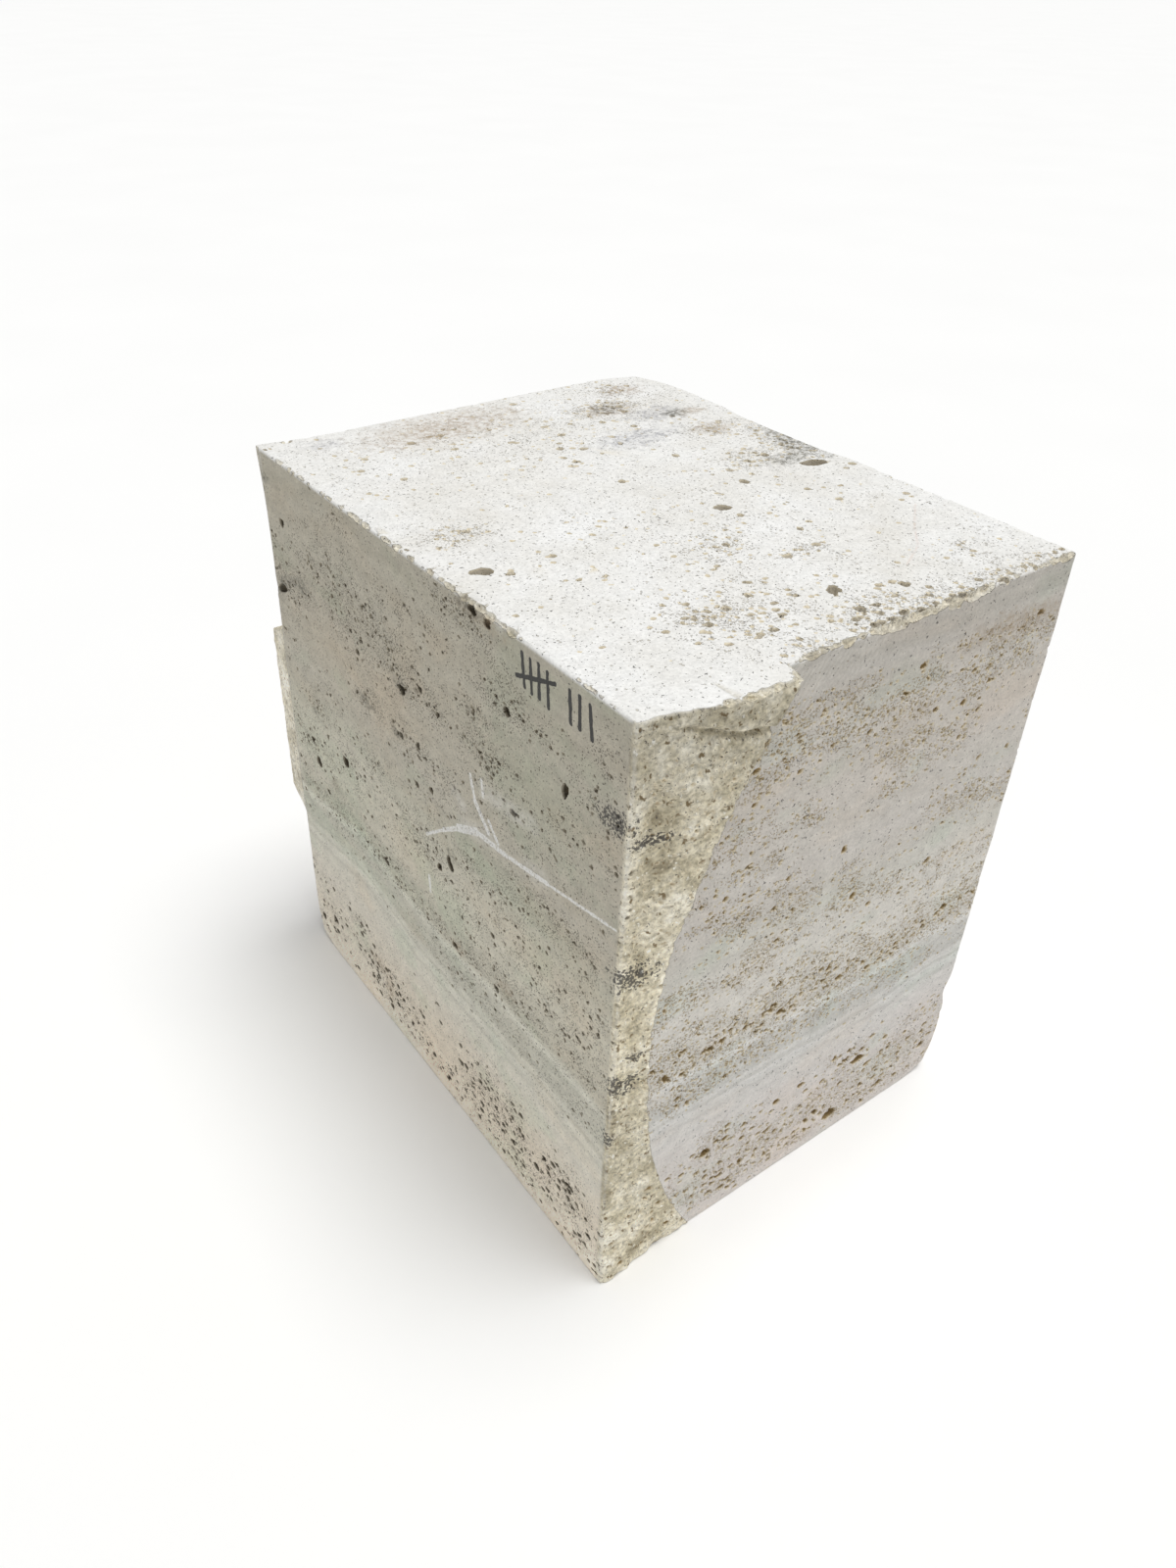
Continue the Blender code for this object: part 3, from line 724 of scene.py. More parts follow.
def strewn_pores(points, share, kind):
    """Depth of round pores strewn so that the given share of the stone is open.

    Each cell of a turned lattice holds one centre, moved at random by a share of the cell, and is
    open with the chance at which its ball fills the wanted share of the cell. A point lies
    sqrt(radius squared - distance squared) under the rim of the ball it is in.
    """
    cell, least, most, seed = kind
    sizes = least + (most - least) * np.linspace(0.0, 1.0, 65) ** PORE_SIZE_POWER
    chance = share * cell ** 3 / (4 / 3 * math.pi * np.mean(sizes ** 3))
    turned = points @ LATTICE_TURN.T / cell
    first = np.floor(turned - 0.5).astype(np.int64)
    depth = np.zeros(len(points))
    for step in np.ndindex(2, 2, 2):
        i, j, k = (first + step).T
        gap = np.zeros(len(points))
        for axis, whole in enumerate((i, j, k)):
            shaken = PORE_SHAKE * lattice(i, j, k, seed + axis)
            gap += (turned[:, axis] - whole - 0.5 - shaken) ** 2
        size_draw = 0.5 + 0.5 * lattice(i, j, k, seed + 3)
        size = least + (most - least) * size_draw ** PORE_SIZE_POWER
        chosen = 0.5 + 0.5 * lattice(i, j, k, seed + 4) < chance
        depth = np.maximum(depth, np.maximum((size / cell) ** 2 - gap, 0.0) * chosen)
    return np.sqrt(depth) * cell


def pore_depth(points, zones, shape):
    """Depth of the natural pores, flattened along the beds and dented by noise."""
    share, large = open_share(points, zones)
    spots = points * np.array([1.0, 1.0, PORE_SQUASH])
    dent = sum(smooth_noise(spots, size, seed)[:, None] * np.array(way)
               for size, seed, way in PORE_DENTS)
    spots = spots + PORE_DENT * dent
    depth = np.zeros(len(points))
    carved = share.copy()
    faces = {zone["face"]: zone["ids"] for zone in zones}
    side = faces["side"]
    low = ramp(points[side, 2], COARSE_BELOW + SIDE_CARVED_FADE, COARSE_BELOW - SIDE_CARVED_FADE)
    carved[side] *= SIDE_CARVED + (1 - SIDE_CARVED) * low
    for kind, part in ((SMALL_PORES, carved * (1 - large)), (LARGE_PORES, carved * large)):
        open_here = np.nonzero(part > LEAST_OPEN)[0]
        found = strewn_pores(spots[open_here], part[open_here], kind)
        depth[open_here] = np.maximum(depth[open_here], found)
    depth *= PORE_DEEPEN
    front, back = faces["front"], faces["back"]
    rough = points[front, 0] - LOW[0] < strip_end(points[front, 2]) + ROUGH_MARGIN
    depth[front[rough]] *= STRIP_PORE_DEPTH
    rough = points[back, 0] - LOW[0] < patch_end(points[back, 2]) + ROUGH_MARGIN
    rough &= (points[back, 2] > PATCH_FOOT_Z) & (points[back, 2] < PATCH_HEAD_Z)
    depth[back[rough]] = 0.0
    fade = ramp(edge_distance(points), *PORES_OFF_EDGE)
    return shape.pore_depth_share * depth * fade, share


def place_on_face(face, across, up):
    """World place and outward direction for a place given across and up a sawn face."""
    spots = {
        "front": ((across, LOW[1], up), (0, -1, 0)),
        "back": ((across, HIGH[1], up), (0, 1, 0)),
        "side": ((LOW[0], across, up), (-1, 0, 0)),
        "right": ((HIGH[0], across, up), (1, 0, 0)),
        "top": ((across, up, HEIGHT), (0, 0, 1)),
        "base": ((across, up, 0.0), (0, 0, -1)),
    }
    spot, out = spots[face]
    return np.array(spot), np.array(out, dtype=float)


def is_sawn(face, across, up, size):
    """True where a pit of this size lies on sawn stone, clear of edges, strip and patch."""
    margin = PIT_MARGIN + size / 2
    limit = HIGH[0] if face in ("front", "back", "top", "base") else HIGH[1]
    if abs(across) > limit - margin:
        return False
    if face in ("top", "base"):
        return abs(up) < HIGH[1] - margin
    if not margin < up < HEIGHT - margin:
        return False
    if face == "front":
        return across - LOW[0] > float(strip_end(up)) + margin
    if face == "back" and PATCH_FOOT_Z - margin < up < PATCH_HEAD_Z + margin:
        return across - LOW[0] > float(patch_end(up)) + margin
    return True


def pit_list():
    """Every large pit as (face, across, up, width, height): the named ones, then seeded ones
    along the beds and in the clusters, each clear of those before it."""
    chance = random.Random(PIT_SEED)
    pits = [(face, *row) for face, rows in LARGE_PITS.items() for row in thousandths(rows)]

    def offer(face, across, up, size):
        clear = all(
            other[0] != face
            or math.hypot(other[1] - across, other[2] - up) > PIT_GAP * (other[3] + size) / 2
            for other in pits)
        if clear and is_sawn(face, across, up, size):
            height = size * chance.uniform(*PIT_HEIGHTS)
            pits.append((face, across, up, size, height))

    for face, share in FACE_SHARES:
        half = HIGH[0] if face in ("front", "back") else HIGH[1]
        for low, high, count, small, large in PIT_BEDS:
            for _ in range(round(count * share)):
                across = chance.uniform(-half, half)
                offer(face, across, chance.uniform(low, high), chance.uniform(small, large))
    for face, clusters in (("top", TOP_CLUSTERS), ("base", BASE_CLUSTERS)):
        for x, y, wide, deep, count, small, large in clusters:
            for _ in range(count):
                across = x + wide * chance.uniform(-1, 1)
                up = y + deep * chance.uniform(-1, 1)
                offer(face, across, up, chance.uniform(small, large))
    return pits


def carve(points, centre, frame_rows, radii, inward, seed):
    """Push points inside a dented ellipsoid along the inward direction to its far wall.

    In the ellipsoid's own axes it is a unit ball, and a point p moves by t along d, where t is
    the larger root of |p + t d| = r. The radius r is dented by noise of the direction from the
    centre, so that rims and walls are uneven.
    """
    reach = max(radii) * 1.5
    close = np.nonzero(np.all(np.abs(points - centre) < reach, axis=1))[0]
    if not len(close):
        return
    local = (points[close] - centre) @ frame_rows.T / radii
    way = inward @ frame_rows.T / radii
    length = np.linalg.norm(local, axis=1)
    ways = local / np.maximum(length, 1e-6)[:, None]
    limit = 1 + DENT_DEPTH * smooth_noise(ways + seed, DENT_SIZE, seed % DENT_SEEDS)
    inside = length < limit
    local, limit = local[inside], limit[inside]
    a = way @ way
    b = local @ way
    c = np.sum(local * local, axis=1) - limit ** 2
    t = (-b + np.sqrt(np.maximum(b * b - a * c, 0.0))) / a
    points[close[inside]] += t[:, None] * inward


def carve_pits(points, zones):
    """Hollow out every large pit. Near an edge it is carved slantwise, on every face there."""
    chance = random.Random(PIT_SEED + 1)
    for number, (face, across, up, width, height) in enumerate(pit_list()):
        spot, out = place_on_face(face, across, up)
        depth = PIT_DEPTH_SHARE * (width + height) / 2
        rise = np.array((0.0, 1.0, 0.0) if face in ("top", "base") else (0.0, 0.0, 1.0))
        tilt = chance.uniform(-PIT_TILT, PIT_TILT)
        side = np.cross(rise, out)
        rows = np.array([
            math.cos(tilt) * side + math.sin(tilt) * rise,
            math.cos(tilt) * rise - math.sin(tilt) * side,
            out])
        radii = np.array([width / 2, height / 2, depth])
        centre = spot - out * depth * PIT_SINK
        inward = np.zeros(3)
        reached = []
        for zone in zones:
            gap = float(zone["out"] @ (np.where(zone["out"] > 0, HIGH, LOW) - spot))
            if abs(gap) < width:
                inward -= zone["out"]
                reached.append(zone["ids"])
        inward /= np.linalg.norm(inward)
        for ids in reached:
            part = points[ids]
            carve(part, centre, rows, radii, inward, SEED["pits"] + number)
            points[ids] = part


def face_zones(directions):
    """Point numbers of each face of the box."""
    zones = []
    for face, axis, sign in (("front", 1, -1), ("right", 0, 1), ("back", 1, 1),
                             ("side", 0, -1), ("top", 2, 1), ("base", 2, -1)):
        out = np.zeros(3)
        out[axis] = sign
        zones.append({
            "face": face, "out": out, "ids": np.nonzero(directions[:, axis] == sign)[0]})
    return zones


def crumble_edges(points):
    """Knock small chips off the crumbled stretches of edge, straight in from the edge."""
    chance = random.Random(PIT_SEED + 2)
    middle = np.array([0.0, 0.0, HEIGHT / 2])
    for start, end, count, largest in CRUMBS:
        start, end = np.array(thousandths((start, end)))
        largest = round(largest / 1000, 7)
        run = (end - start) / np.linalg.norm(end - start)
        near_edge = np.nonzero(np.linalg.norm(
            np.cross(points - start, run), axis=1) < 3 * largest)[0]
        part = points[near_edge]
        for number in range(count):
            size = largest * chance.uniform(*CHIP_SIZES) ** CHIP_SIZE_POWER
            centre = start + (end - start) * chance.uniform(0, 1)
            inward = middle - centre
            inward -= run * (inward @ run)
            inward = np.sign(np.round(inward, 3)) * (np.abs(run) < 0.5)
            inward = inward / np.linalg.norm(inward)
            centre = centre - inward * size * chance.uniform(*CHIP_SINK)
            cross = np.cross(run, inward)
            radii = np.array([size * chance.uniform(*CHIP_LENGTHS), size, size])
            rows = np.array([run, cross, inward])
            carve(part, centre, rows, radii, inward, SEED["chips"] + number)
        points[near_edge] = part


def stone_points(shape):
    """All points of the finished surface, its quads, and three fields of the surface: how far
    each point was carved into a pore or pit and how far it was knocked off an edge, both in
    millimetres, and the share of the stone that is open there."""
    points, directions, quads = box_grid()
    surface = weather(points, shape)
    side = directions[:, 0] < 0
    surface[side, 0] += ledge_depth(points[side], shape)
    sawn = surface.copy()
    zones = face_zones(directions)
    depth, share = pore_depth(points, zones, shape)
    surface -= directions * depth[:, None]
    carve_pits(surface, zones)
    hollow = np.linalg.norm(surface - sawn, axis=1)
    pitted = surface.copy()
    crumble_edges(surface)
    chip = np.linalg.norm(surface - pitted, axis=1)
    surface[:, 2] = np.clip(surface[:, 2], 0.0, HEIGHT)
    fields = {"hollow": hollow * 1000, "chip": chip * 1000, "open": share}
    return surface, quads, fields


def mesh_from_grid(name, points, quads):
    """Put points and quads into a mesh."""
    mesh = bpy.data.meshes.new(name)
    mesh.vertices.add(len(points))
    mesh.vertices.foreach_set("co", points.astype(np.float32).ravel())
    mesh.loops.add(quads.size)
    mesh.loops.foreach_set("vertex_index", quads.astype(np.int32).ravel())
    mesh.polygons.add(len(quads))
    mesh.polygons.foreach_set("loop_start", np.arange(0, quads.size, 4, dtype=np.int32))
    mesh.update(calc_edges=True)
    mesh.validate()
    return mesh


# ---------------------------------------------------------------- shader nodes


def tone(red, green, blue):
    """Linear RGBA colour for a tone given as 0..255 screen values."""
    def linear(value):
        share = value / 255
        return share / 12.92 if share <= 0.04045 else ((share + 0.055) / 1.055) ** 2.4
    return (linear(red), linear(green), linear(blue), 1.0)


# Broken stone, for noise from 0 to 1, with its specks and crystals
BROKEN_TONES = (
    (0.00, tone(160, 150, 126)), (0.30, tone(198, 189, 164)), (0.60, tone(220, 212, 190)),
    (1.00, tone(242, 237, 221)),
)
BROWN_SPECK = tone(128, 112, 84)
PALE_CRYSTAL = tone(244, 241, 230)
# How much lighter the broken strip is at each height in mm
BROKEN_SHADES = (
    (0, 1.22), (60, 1.18), (150, 1.10), (250, 1.28), (330, 1.32), (390, 1.15), (460, 1.12),
    (500, 0.90), (540, 0.84),
)

# Noises of the material: cells in a metre, detail and roughness
RAGGED = (130.0, 3.0, 0.6)
GRAIN = (420.0, 3.0, 0.7)
TOP_CLOUDS = (14.0, 4.0, 0.6)
SPARKLE = (430.0, 2.0, 0.6)
SPECKLE = (240.0, 3.0, 0.65)
SLOW_SWAY = (11.0, 1.0)
QUICK_SWAY = (48.0, 1.0)
BED_THREADS = (1.0, 3.0, 0.6)
PATCHES = (13.0, 2.0)
BLOTCHES = (60.0, 4.0, 0.65)
PORE_CLUSTERS = (70.0, 2.0)
PORE_GRAIN = (640.0, 1.0)
BROKEN_BROAD = (34.0, 4.0, 0.65)
BROKEN_GRAIN = (300.0, 3.0, 0.65)
BROKEN_SPECKS = (210.0, 2.0, 0.6)
SAW_PATCHES = (24.0, 2.0)
FLOOR_CLOUDS = (2.0, 2.0)
# The part of a noise's 0..1 that it mostly keeps to
MOSTLY = (0.3, 0.7)
NEARLY_ALL = (0.2, 0.8)
WHOLE = (0.0, 1.0)

# The beds sway and ripple by up to these heights, and swell up between two places along Y
BED_SWAY = 0.007
BED_RIPPLE = 0.002
BED_SWELL = 0.011
SWELL_STARTS = (0.020, 0.115)
SWELL_ENDS = (0.215, 0.125)
# Thin lines along the beds: cells in a metre along and across them
THREADS_ALONG = 7.0
THREADS_ACROSS = 230.0

# Patches of the beds: noise where each starts and is full, and shades of the blotches
PINK_FROM = (0.52, 0.72)
GREEN_FROM = (0.45, 0.30)
BLOTCH_SHADES = (0.905, 1.080)

# Pores in the material: cells in a metre and how loosely they lie, radius in cells and its soft
# rim, share that is open everywhere, chance for each open share, and how it gathers in clusters
FINE_CELLS = 430.0
FINE_LOOSE = 0.9
FINE_RADIUS = (0.14, 0.44)
FINE_RIM = (0.05, -0.07)
FINE_ALWAYS = 0.0035
FINE_CHANCE = 6.0
FINE_GATHERED = (0.36, 0.64, 0.10, 2.00)
CELLS_MOVED = (0.31, 0.17, 0.23)
CELLS_SHAKEN = (0.9985, 1.0015)
# Dust of specks: chance and the noise above which it lies, its rim and how strongly it shows
DUST_LIMIT = (0.0, 0.9, 0.74, 0.62)
DUST_RIM = (-0.01, 0.05)
DUST_SHOWS = 0.7

# Broken stone: the noise used, shades of the grain, specks and crystals, and heights in metres
BROKEN_SPREAD = (0.32, 0.68)
BROKEN_GRAIN_SHADES = (0.60, 1.34)
SPECKS_FROM = (0.60, 0.70)
CRYSTALS_FROM = (0.35, 0.27)
BROKEN_GRAIN_HIGH = 0.0012
BROKEN_BROAD_HIGH = 0.0010

# Saw marks: how far noise shifts the grooves, as an angle, and where they show
SAW_SHIFT = 6.0
SAW_PATCHES_FROM = (0.46, 0.62)

# Shades that the grain and the ragged noise lay over sawn stone: noise from, to, and shades
GRAIN_SHADES = (0.40, 0.60, 0.925, 1.065)
RAGGED_SHADES = (0.38, 0.62, 0.970, 1.030)
# Depth in mm at which chips are tan, and at which hollows show their rim and floor, are dull and
# are bare of ink
CHIP_TAN = (0.10, 0.60)
HOLLOW_RIM = (0.06, 0.45)
HOLLOW_FLOOR = (0.60, 2.00)
HOLLOW_DULL = (0.1, 0.6)
HOLLOW_BARE = (0.8, 0.3)
# Specks of the mineral and of the stains
SPARKLE_ADDS = (-1.15, 0.65)
MINERAL_FROM = (0.46, 0.60)
SPECKLE_FROM = (0.44, 0.60)
SPECKLE_SHOWS = (0.25, 1.0)
# How a stroke breaks up: noise from, to, and how much of it shows
SMEAR_BROKEN = (0.35, 0.60, 0.1, 1.0)
SCRATCH_BROKEN = (0.38, 0.52, 0.30, 1.0)
STAINS = (
    (GREY_STAINS, "grey_stain", 0.60), (BROWN_STAINS, "brown_stain", 0.60),
    (DARK_STAINS_AND_SHADE, "dark_stain_and_shade", 0.75),
)
# How strongly each layer covers what lies under it
SHOWS = {
    "grooves": 0.16, "rim": 0.35, "tan": 0.75, "powder": 0.25, "fine pores": 0.75,
    "mineral": 0.85, "smears": 0.30, "vein": 0.35, "ink": 0.95,
}
# Roughness of sawn, broken and hollow stone, and how far ink smooths it
SAWN_ROUGH = (0.72, 0.88)
BROKEN_ROUGH = 0.93
HOLLOW_ROUGH = 0.95
INK_SMOOTHS = 0.25
# Bump in metres: grain, ragged noise and fine pores
GRAIN_HIGH = 0.00042
RAGGED_HIGH = 0.00045
FINE_DEEP = 0.0008

# Where each face starts and is full: x, y or z, and distance past the blade's arc
SIDE_FROM = (-0.1900, -0.1975)
FRONT_FROM = (-0.2440, -0.2485)
NEAR_TOP_FROM = (0.5240, 0.5340)
TOP_FROM = (0.5362, 0.5392)
UNDER_TOP = (0.5399, 0.5394)
PATCH_FROM = (0.2504, 0.2514)
STRIP_FROM = (-0.0002, 0.0006)
STRIP_X = (0.0, -0.01)
# Distance past the arc where grooves start and are full, and where its powdered rim does
GROOVES_FROM = (-0.160, -0.004)
ARC_RIM = (-0.0065, -0.0010)
ARC_RIM_ENDS = (0.0010, -0.0004)
# Distance to an edge where chips are tan, and where the edge is powdered
CHIPS_WITHIN = (0.0095, 0.0060)
POWDER_WITHIN = (0.0026, 0.0006)

# How far lines and rims waver, in metres and as a share of a stain's size, the share of that
# which slim strokes keep, and the soft rims of the strokes
WAVER = 0.0011
BLUR = 0.45
SLIM = 0.45
SCRATCH_SOFT = 0.0011
SMEAR_SOFT = 0.0090
SCUFF_SOFT = 0.0100
VEIN_SOFT = 0.0010
INK_SOFT = 0.0005


class Wiring:
    """Adds shader nodes to a tree. An input given as a socket is linked, and any other is set."""

    def __init__(self, tree):
        self.tree = tree

    def feed(self, socket, value):
        if isinstance(value, bpy.types.NodeSocket):
            self.tree.links.new(value, socket)
        else:
            socket.default_value = value

    def node(self, kind, inputs=None, **settings):
        made = self.tree.nodes.new(kind)
        for name, value in settings.items():
            setattr(made, name, value)
        for name, value in (inputs or {}).items():
            self.feed(made.inputs[name], value)
        return made

    def math(self, operation, *values):
        made = self.node("ShaderNodeMath", operation=operation)
        for socket, value in zip(made.inputs, values):
            self.feed(socket, value)
        return made.outputs[0]

    def times(self, first, second):
        return self.math("MULTIPLY", first, second)

    def plus(self, first, second):
        return self.math("ADD", first, second)

    def minus(self, first, second):
        return self.math("SUBTRACT", first, second)

    def larger(self, first, second):
        return self.math("MAXIMUM", first, second)

    def smaller(self, first, second):
        return self.math("MINIMUM", first, second)

    def vector(self, operation, *values):
        made = self.node("ShaderNodeVectorMath", operation=operation)
        for socket, value in zip(made.inputs, values):
            self.feed(socket, value)
        scalar = operation in ("LENGTH", "DISTANCE", "DOT_PRODUCT")
        return made.outputs["Value" if scalar else "Vector"]

    def squash(self, place, up):
        return self.vector("MULTIPLY", place, (1.0, 1.0, up))

    def parts(self, place):
        return self.node("ShaderNodeSeparateXYZ", {"Vector": place}).outputs

    def noise(self, place, per_metre, detail=1.0, roughness=0.5):
        made = self.node("ShaderNodeTexNoise", {
            "Vector": place, "Scale": per_metre, "Detail": detail, "Roughness": roughness})
        return made.outputs["Fac"]

    def step(self, value, start, end):
        made = self.node("ShaderNodeMapRange", interpolation_type="SMOOTHSTEP", clamp=False)
        self.feed(made.inputs["Value"], value)
        self.feed(made.inputs["From Min"], start)
        self.feed(made.inputs["From Max"], end)
        return made.outputs["Result"]

    def span(self, value, start, end, low, high):
        made = self.node("ShaderNodeMapRange", {
            "Value": value, "From Min": start, "From Max": end, "To Min": low, "To Max": high})
        return made.outputs["Result"]

    def mix(self, share, below, above, kind="MIX"):
        made = self.node("ShaderNodeMix", data_type="RGBA", blend_type=kind)
        for number, value in ((0, share), (6, below), (7, above)):
            self.feed(made.inputs[number], value)
        return made.outputs[2]

    def tint(self, colour, cast, share=1.0):
        return self.mix(share, colour, cast, "MULTIPLY")

    def cover(self, colour, mask, strength, over):
        return self.mix(self.times(mask, strength), colour, over)

    def ramp(self, value, stops):
        made = self.node("ShaderNodeValToRGB", {"Fac": value})
        elements = made.color_ramp.elements
        elements[0].position, elements[0].color = stops[0]
        elements[1].position, elements[1].color = stops[-1]
        for position, colour in stops[1:-1]:
            elements.new(position).color = colour
        return made.outputs["Color"]

    def by_height(self, share, steps):
        """A value that follows the given steps, each a height in mm and a value."""
        return self.ramp(share, [
            (z / 1000 / HEIGHT, (value, value, value, 1.0)) for z, value in steps])

    def group(self, tree, **inputs):
        made = self.node("ShaderNodeGroup", node_tree=tree)
        for name, value in inputs.items():
            self.feed(made.inputs[name], value)
        return made.outputs


def new_group(name, inputs, outputs):
    """Start a shader node group, and return its tree, its wiring and its two ends. Inputs and
    outputs are given as a kind of socket and the names of the sockets of that kind."""
    tree = bpy.data.node_groups.new(name, "ShaderNodeTree")
    for way, ends in (("INPUT", inputs), ("OUTPUT", outputs)):
        for kind, labels in ends:
            for label in labels:
                tree.interface.new_socket(label, in_out=way, socket_type="NodeSocket" + kind)
    wires = Wiring(tree)
    given = wires.node("NodeGroupInput").outputs
    result = wires.node("NodeGroupOutput").inputs
    return tree, wires, given, result


def arc_group():
    """Signed distance to a circle that lies in one plane: |(p - centre) * plane| - radius."""
    tree, wires, given, result = new_group(
        "Arc Distance", (("Vector", ("Position", "Plane", "Centre")), ("Float", ("Radius",))),
        (("Float", ("Distance",)),))
    gap = wires.vector("SUBTRACT", given["Position"], given["Centre"])
    flat = wires.vector("MULTIPLY", gap, given["Plane"])
    length = wires.vector("LENGTH", flat)
    wires.feed(result["Distance"], wires.minus(length, given["Radius"]))
    return tree


def stroke_group():
    """A drawn or scratched line: 1 within half its width of a segment, 0 past its soft rim.

    The nearest point of the segment is start + t (end - start), where t is the projection of the
    point on it, held to 0..1.
    """
    tree, wires, given, result = new_group(
        "Stroke",
        (("Vector", ("Position", "Start", "End")),
         ("Float", ("Width", "Softness", "Waver", "Others"))),
        (("Float", ("Mask",)),))
    run = wires.vector("SUBTRACT", given["End"], given["Start"])
    gap = wires.vector("SUBTRACT", given["Position"], given["Start"])
    along = wires.vector("DOT_PRODUCT", gap, run)
    whole = wires.vector("DOT_PRODUCT", run, run)
    share = wires.larger(wires.math("DIVIDE", along, whole), 0.0)
    share = wires.smaller(share, 1.0)
    reached = wires.node("ShaderNodeVectorMath", {"Vector": run, "Scale": share},
                         operation="SCALE")
    away = wires.vector("DISTANCE", gap, reached.outputs["Vector"])
    wavered = wires.plus(away, given["Waver"])
    half = wires.times(given["Width"], 0.5)
    rim = wires.plus(half, given["Softness"])
    mask = wires.step(wavered, rim, half)
    wires.feed(result["Mask"], wires.larger(mask, given["Others"]))
    return tree


def spot_group():
    """A stain: 1 at the centre of an ellipsoid, falling smoothly to 0 at its uneven rim."""
    tree, wires, given, result = new_group(
        "Spot",
        (("Vector", ("Position", "Centre", "Size")), ("Float", ("Waver", "Others"))),
        (("Float", ("Mask",)),))
    gap = wires.vector("SUBTRACT", given["Position"], given["Centre"])
    scaled = wires.vector("DIVIDE", gap, given["Size"])
    away = wires.plus(wires.vector("LENGTH", scaled), given["Waver"])
    mask = wires.step(away, 1.25, 0.25)
    wires.feed(result["Mask"], wires.larger(mask, given["Others"]))
    return tree


def bed_group():
    """The stone's colour, partly painted light: a ramp of bed tones up the block, lighter towards
    its foot as painted light, on a height that wavers, with thin lines along the beds and pink,
    green and pale patches."""
    tree, wires, given, result = new_group(
        "Bed Colour And Light", (("Vector", ("Position",)),), (("Color", ("Colour",)),))
    place = given["Position"]
    slow = wires.noise(wires.squash(place, 0.35), *SLOW_SWAY)
    quick = wires.noise(wires.squash(place, 0.5), *QUICK_SWAY)
    height = wires.parts(place)["Z"]
    deep = wires.parts(place)["Y"]
    swell = wires.times(wires.step(deep, *SWELL_STARTS), wires.step(deep, *SWELL_ENDS))
    sway = wires.span(slow, *NEARLY_ALL, -BED_SWAY, BED_SWAY)
    sway = wires.minus(sway, wires.times(swell, BED_SWELL))
    ripple = wires.span(quick, *NEARLY_ALL, -BED_RIPPLE, BED_RIPPLE)
    level = wires.plus(wires.plus(height, sway), ripple)
    share = wires.math("DIVIDE", level, HEIGHT)
    # Bed tones, partly painted light: lighter towards the foot of the block
    colour = wires.ramp(share, [(z / 1000 / HEIGHT, tone(*shade)) for z, *shade in BED_TONES_AND_LIGHT])
    parts = wires.parts(place)
    thread_place = wires.node("ShaderNodeCombineXYZ", {
        "X": wires.times(parts["X"], THREADS_ALONG),
        "Y": wires.times(parts["Y"], THREADS_ALONG),
        "Z": wires.times(level, THREADS_ACROSS)}).outputs["Vector"]
    threads = wires.noise(thread_place, *BED_THREADS)
    strength = wires.by_height(share, BED_LINES)
    thread_shade = wires.math(
        "ADD", 1.0, wires.times(wires.span(threads, *MOSTLY, -1.0, 1.0), strength))
    colour = wires.tint(colour, thread_shade)
    patches = wires.noise(wires.squash(place, 1.7), *PATCHES)
    colour = wires.tint(colour, PINK_CAST, wires.step(patches, *PINK_FROM))
    colour = wires.tint(colour, GREEN_CAST, wires.step(patches, *GREEN_FROM))
    blotches = wires.noise(wires.squash(place, 1.4), *BLOTCHES)
    colour = wires.tint(colour, wires.span(blotches, *MOSTLY, *BLOTCH_SHADES))
    wires.feed(result["Colour"], colour)
    return tree


def fine_pore_group():
    """Pores too small to carve, more of them where the stone is more open.

    One lattice of cells holds round dots of random size, and a cell's dot is open where its
    chance lies below the share wanted there. A finer noise adds a dust of specks.
    """
    tree, wires, given, result = new_group(
        "Fine Pores", (("Vector", ("Position",)), ("Float", ("Open",))),
        (("Float", ("Mask",)),))
    place = wires.squash(given["Position"], 1.3)
    cluster = wires.noise(place, *PORE_CLUSTERS)
    gathered = wires.span(cluster, *FINE_GATHERED)
    share = wires.plus(given["Open"], FINE_ALWAYS)
    chance = wires.times(wires.times(share, gathered), FINE_CHANCE)
    grain = wires.noise(place, *PORE_GRAIN)
    shaken = wires.node("ShaderNodeVectorMath", operation="SCALE")
    wires.feed(shaken.inputs["Vector"], wires.vector("ADD", place, CELLS_MOVED))
    wires.feed(shaken.inputs["Scale"], wires.span(grain, *WHOLE, *CELLS_SHAKEN))
    cells = wires.node("ShaderNodeTexVoronoi", {
        "Vector": shaken.outputs["Vector"], "Scale": FINE_CELLS, "Randomness": FINE_LOOSE})
    draws = wires.node("ShaderNodeSeparateColor", {"Color": cells.outputs["Color"]}).outputs
    radius = wires.span(draws["Red"], *WHOLE, *FINE_RADIUS)
    dot = wires.step(wires.minus(cells.outputs["Distance"], radius), *FINE_RIM)
    chosen = wires.math("LESS_THAN", draws["Green"], chance)
    dots = wires.times(dot, chosen)
    limit = wires.span(chance, *DUST_LIMIT)
    dust = wires.step(wires.minus(grain, limit), *DUST_RIM)
    wires.feed(result["Mask"], wires.larger(dots, wires.times(dust, DUST_SHOWS)))
    return tree


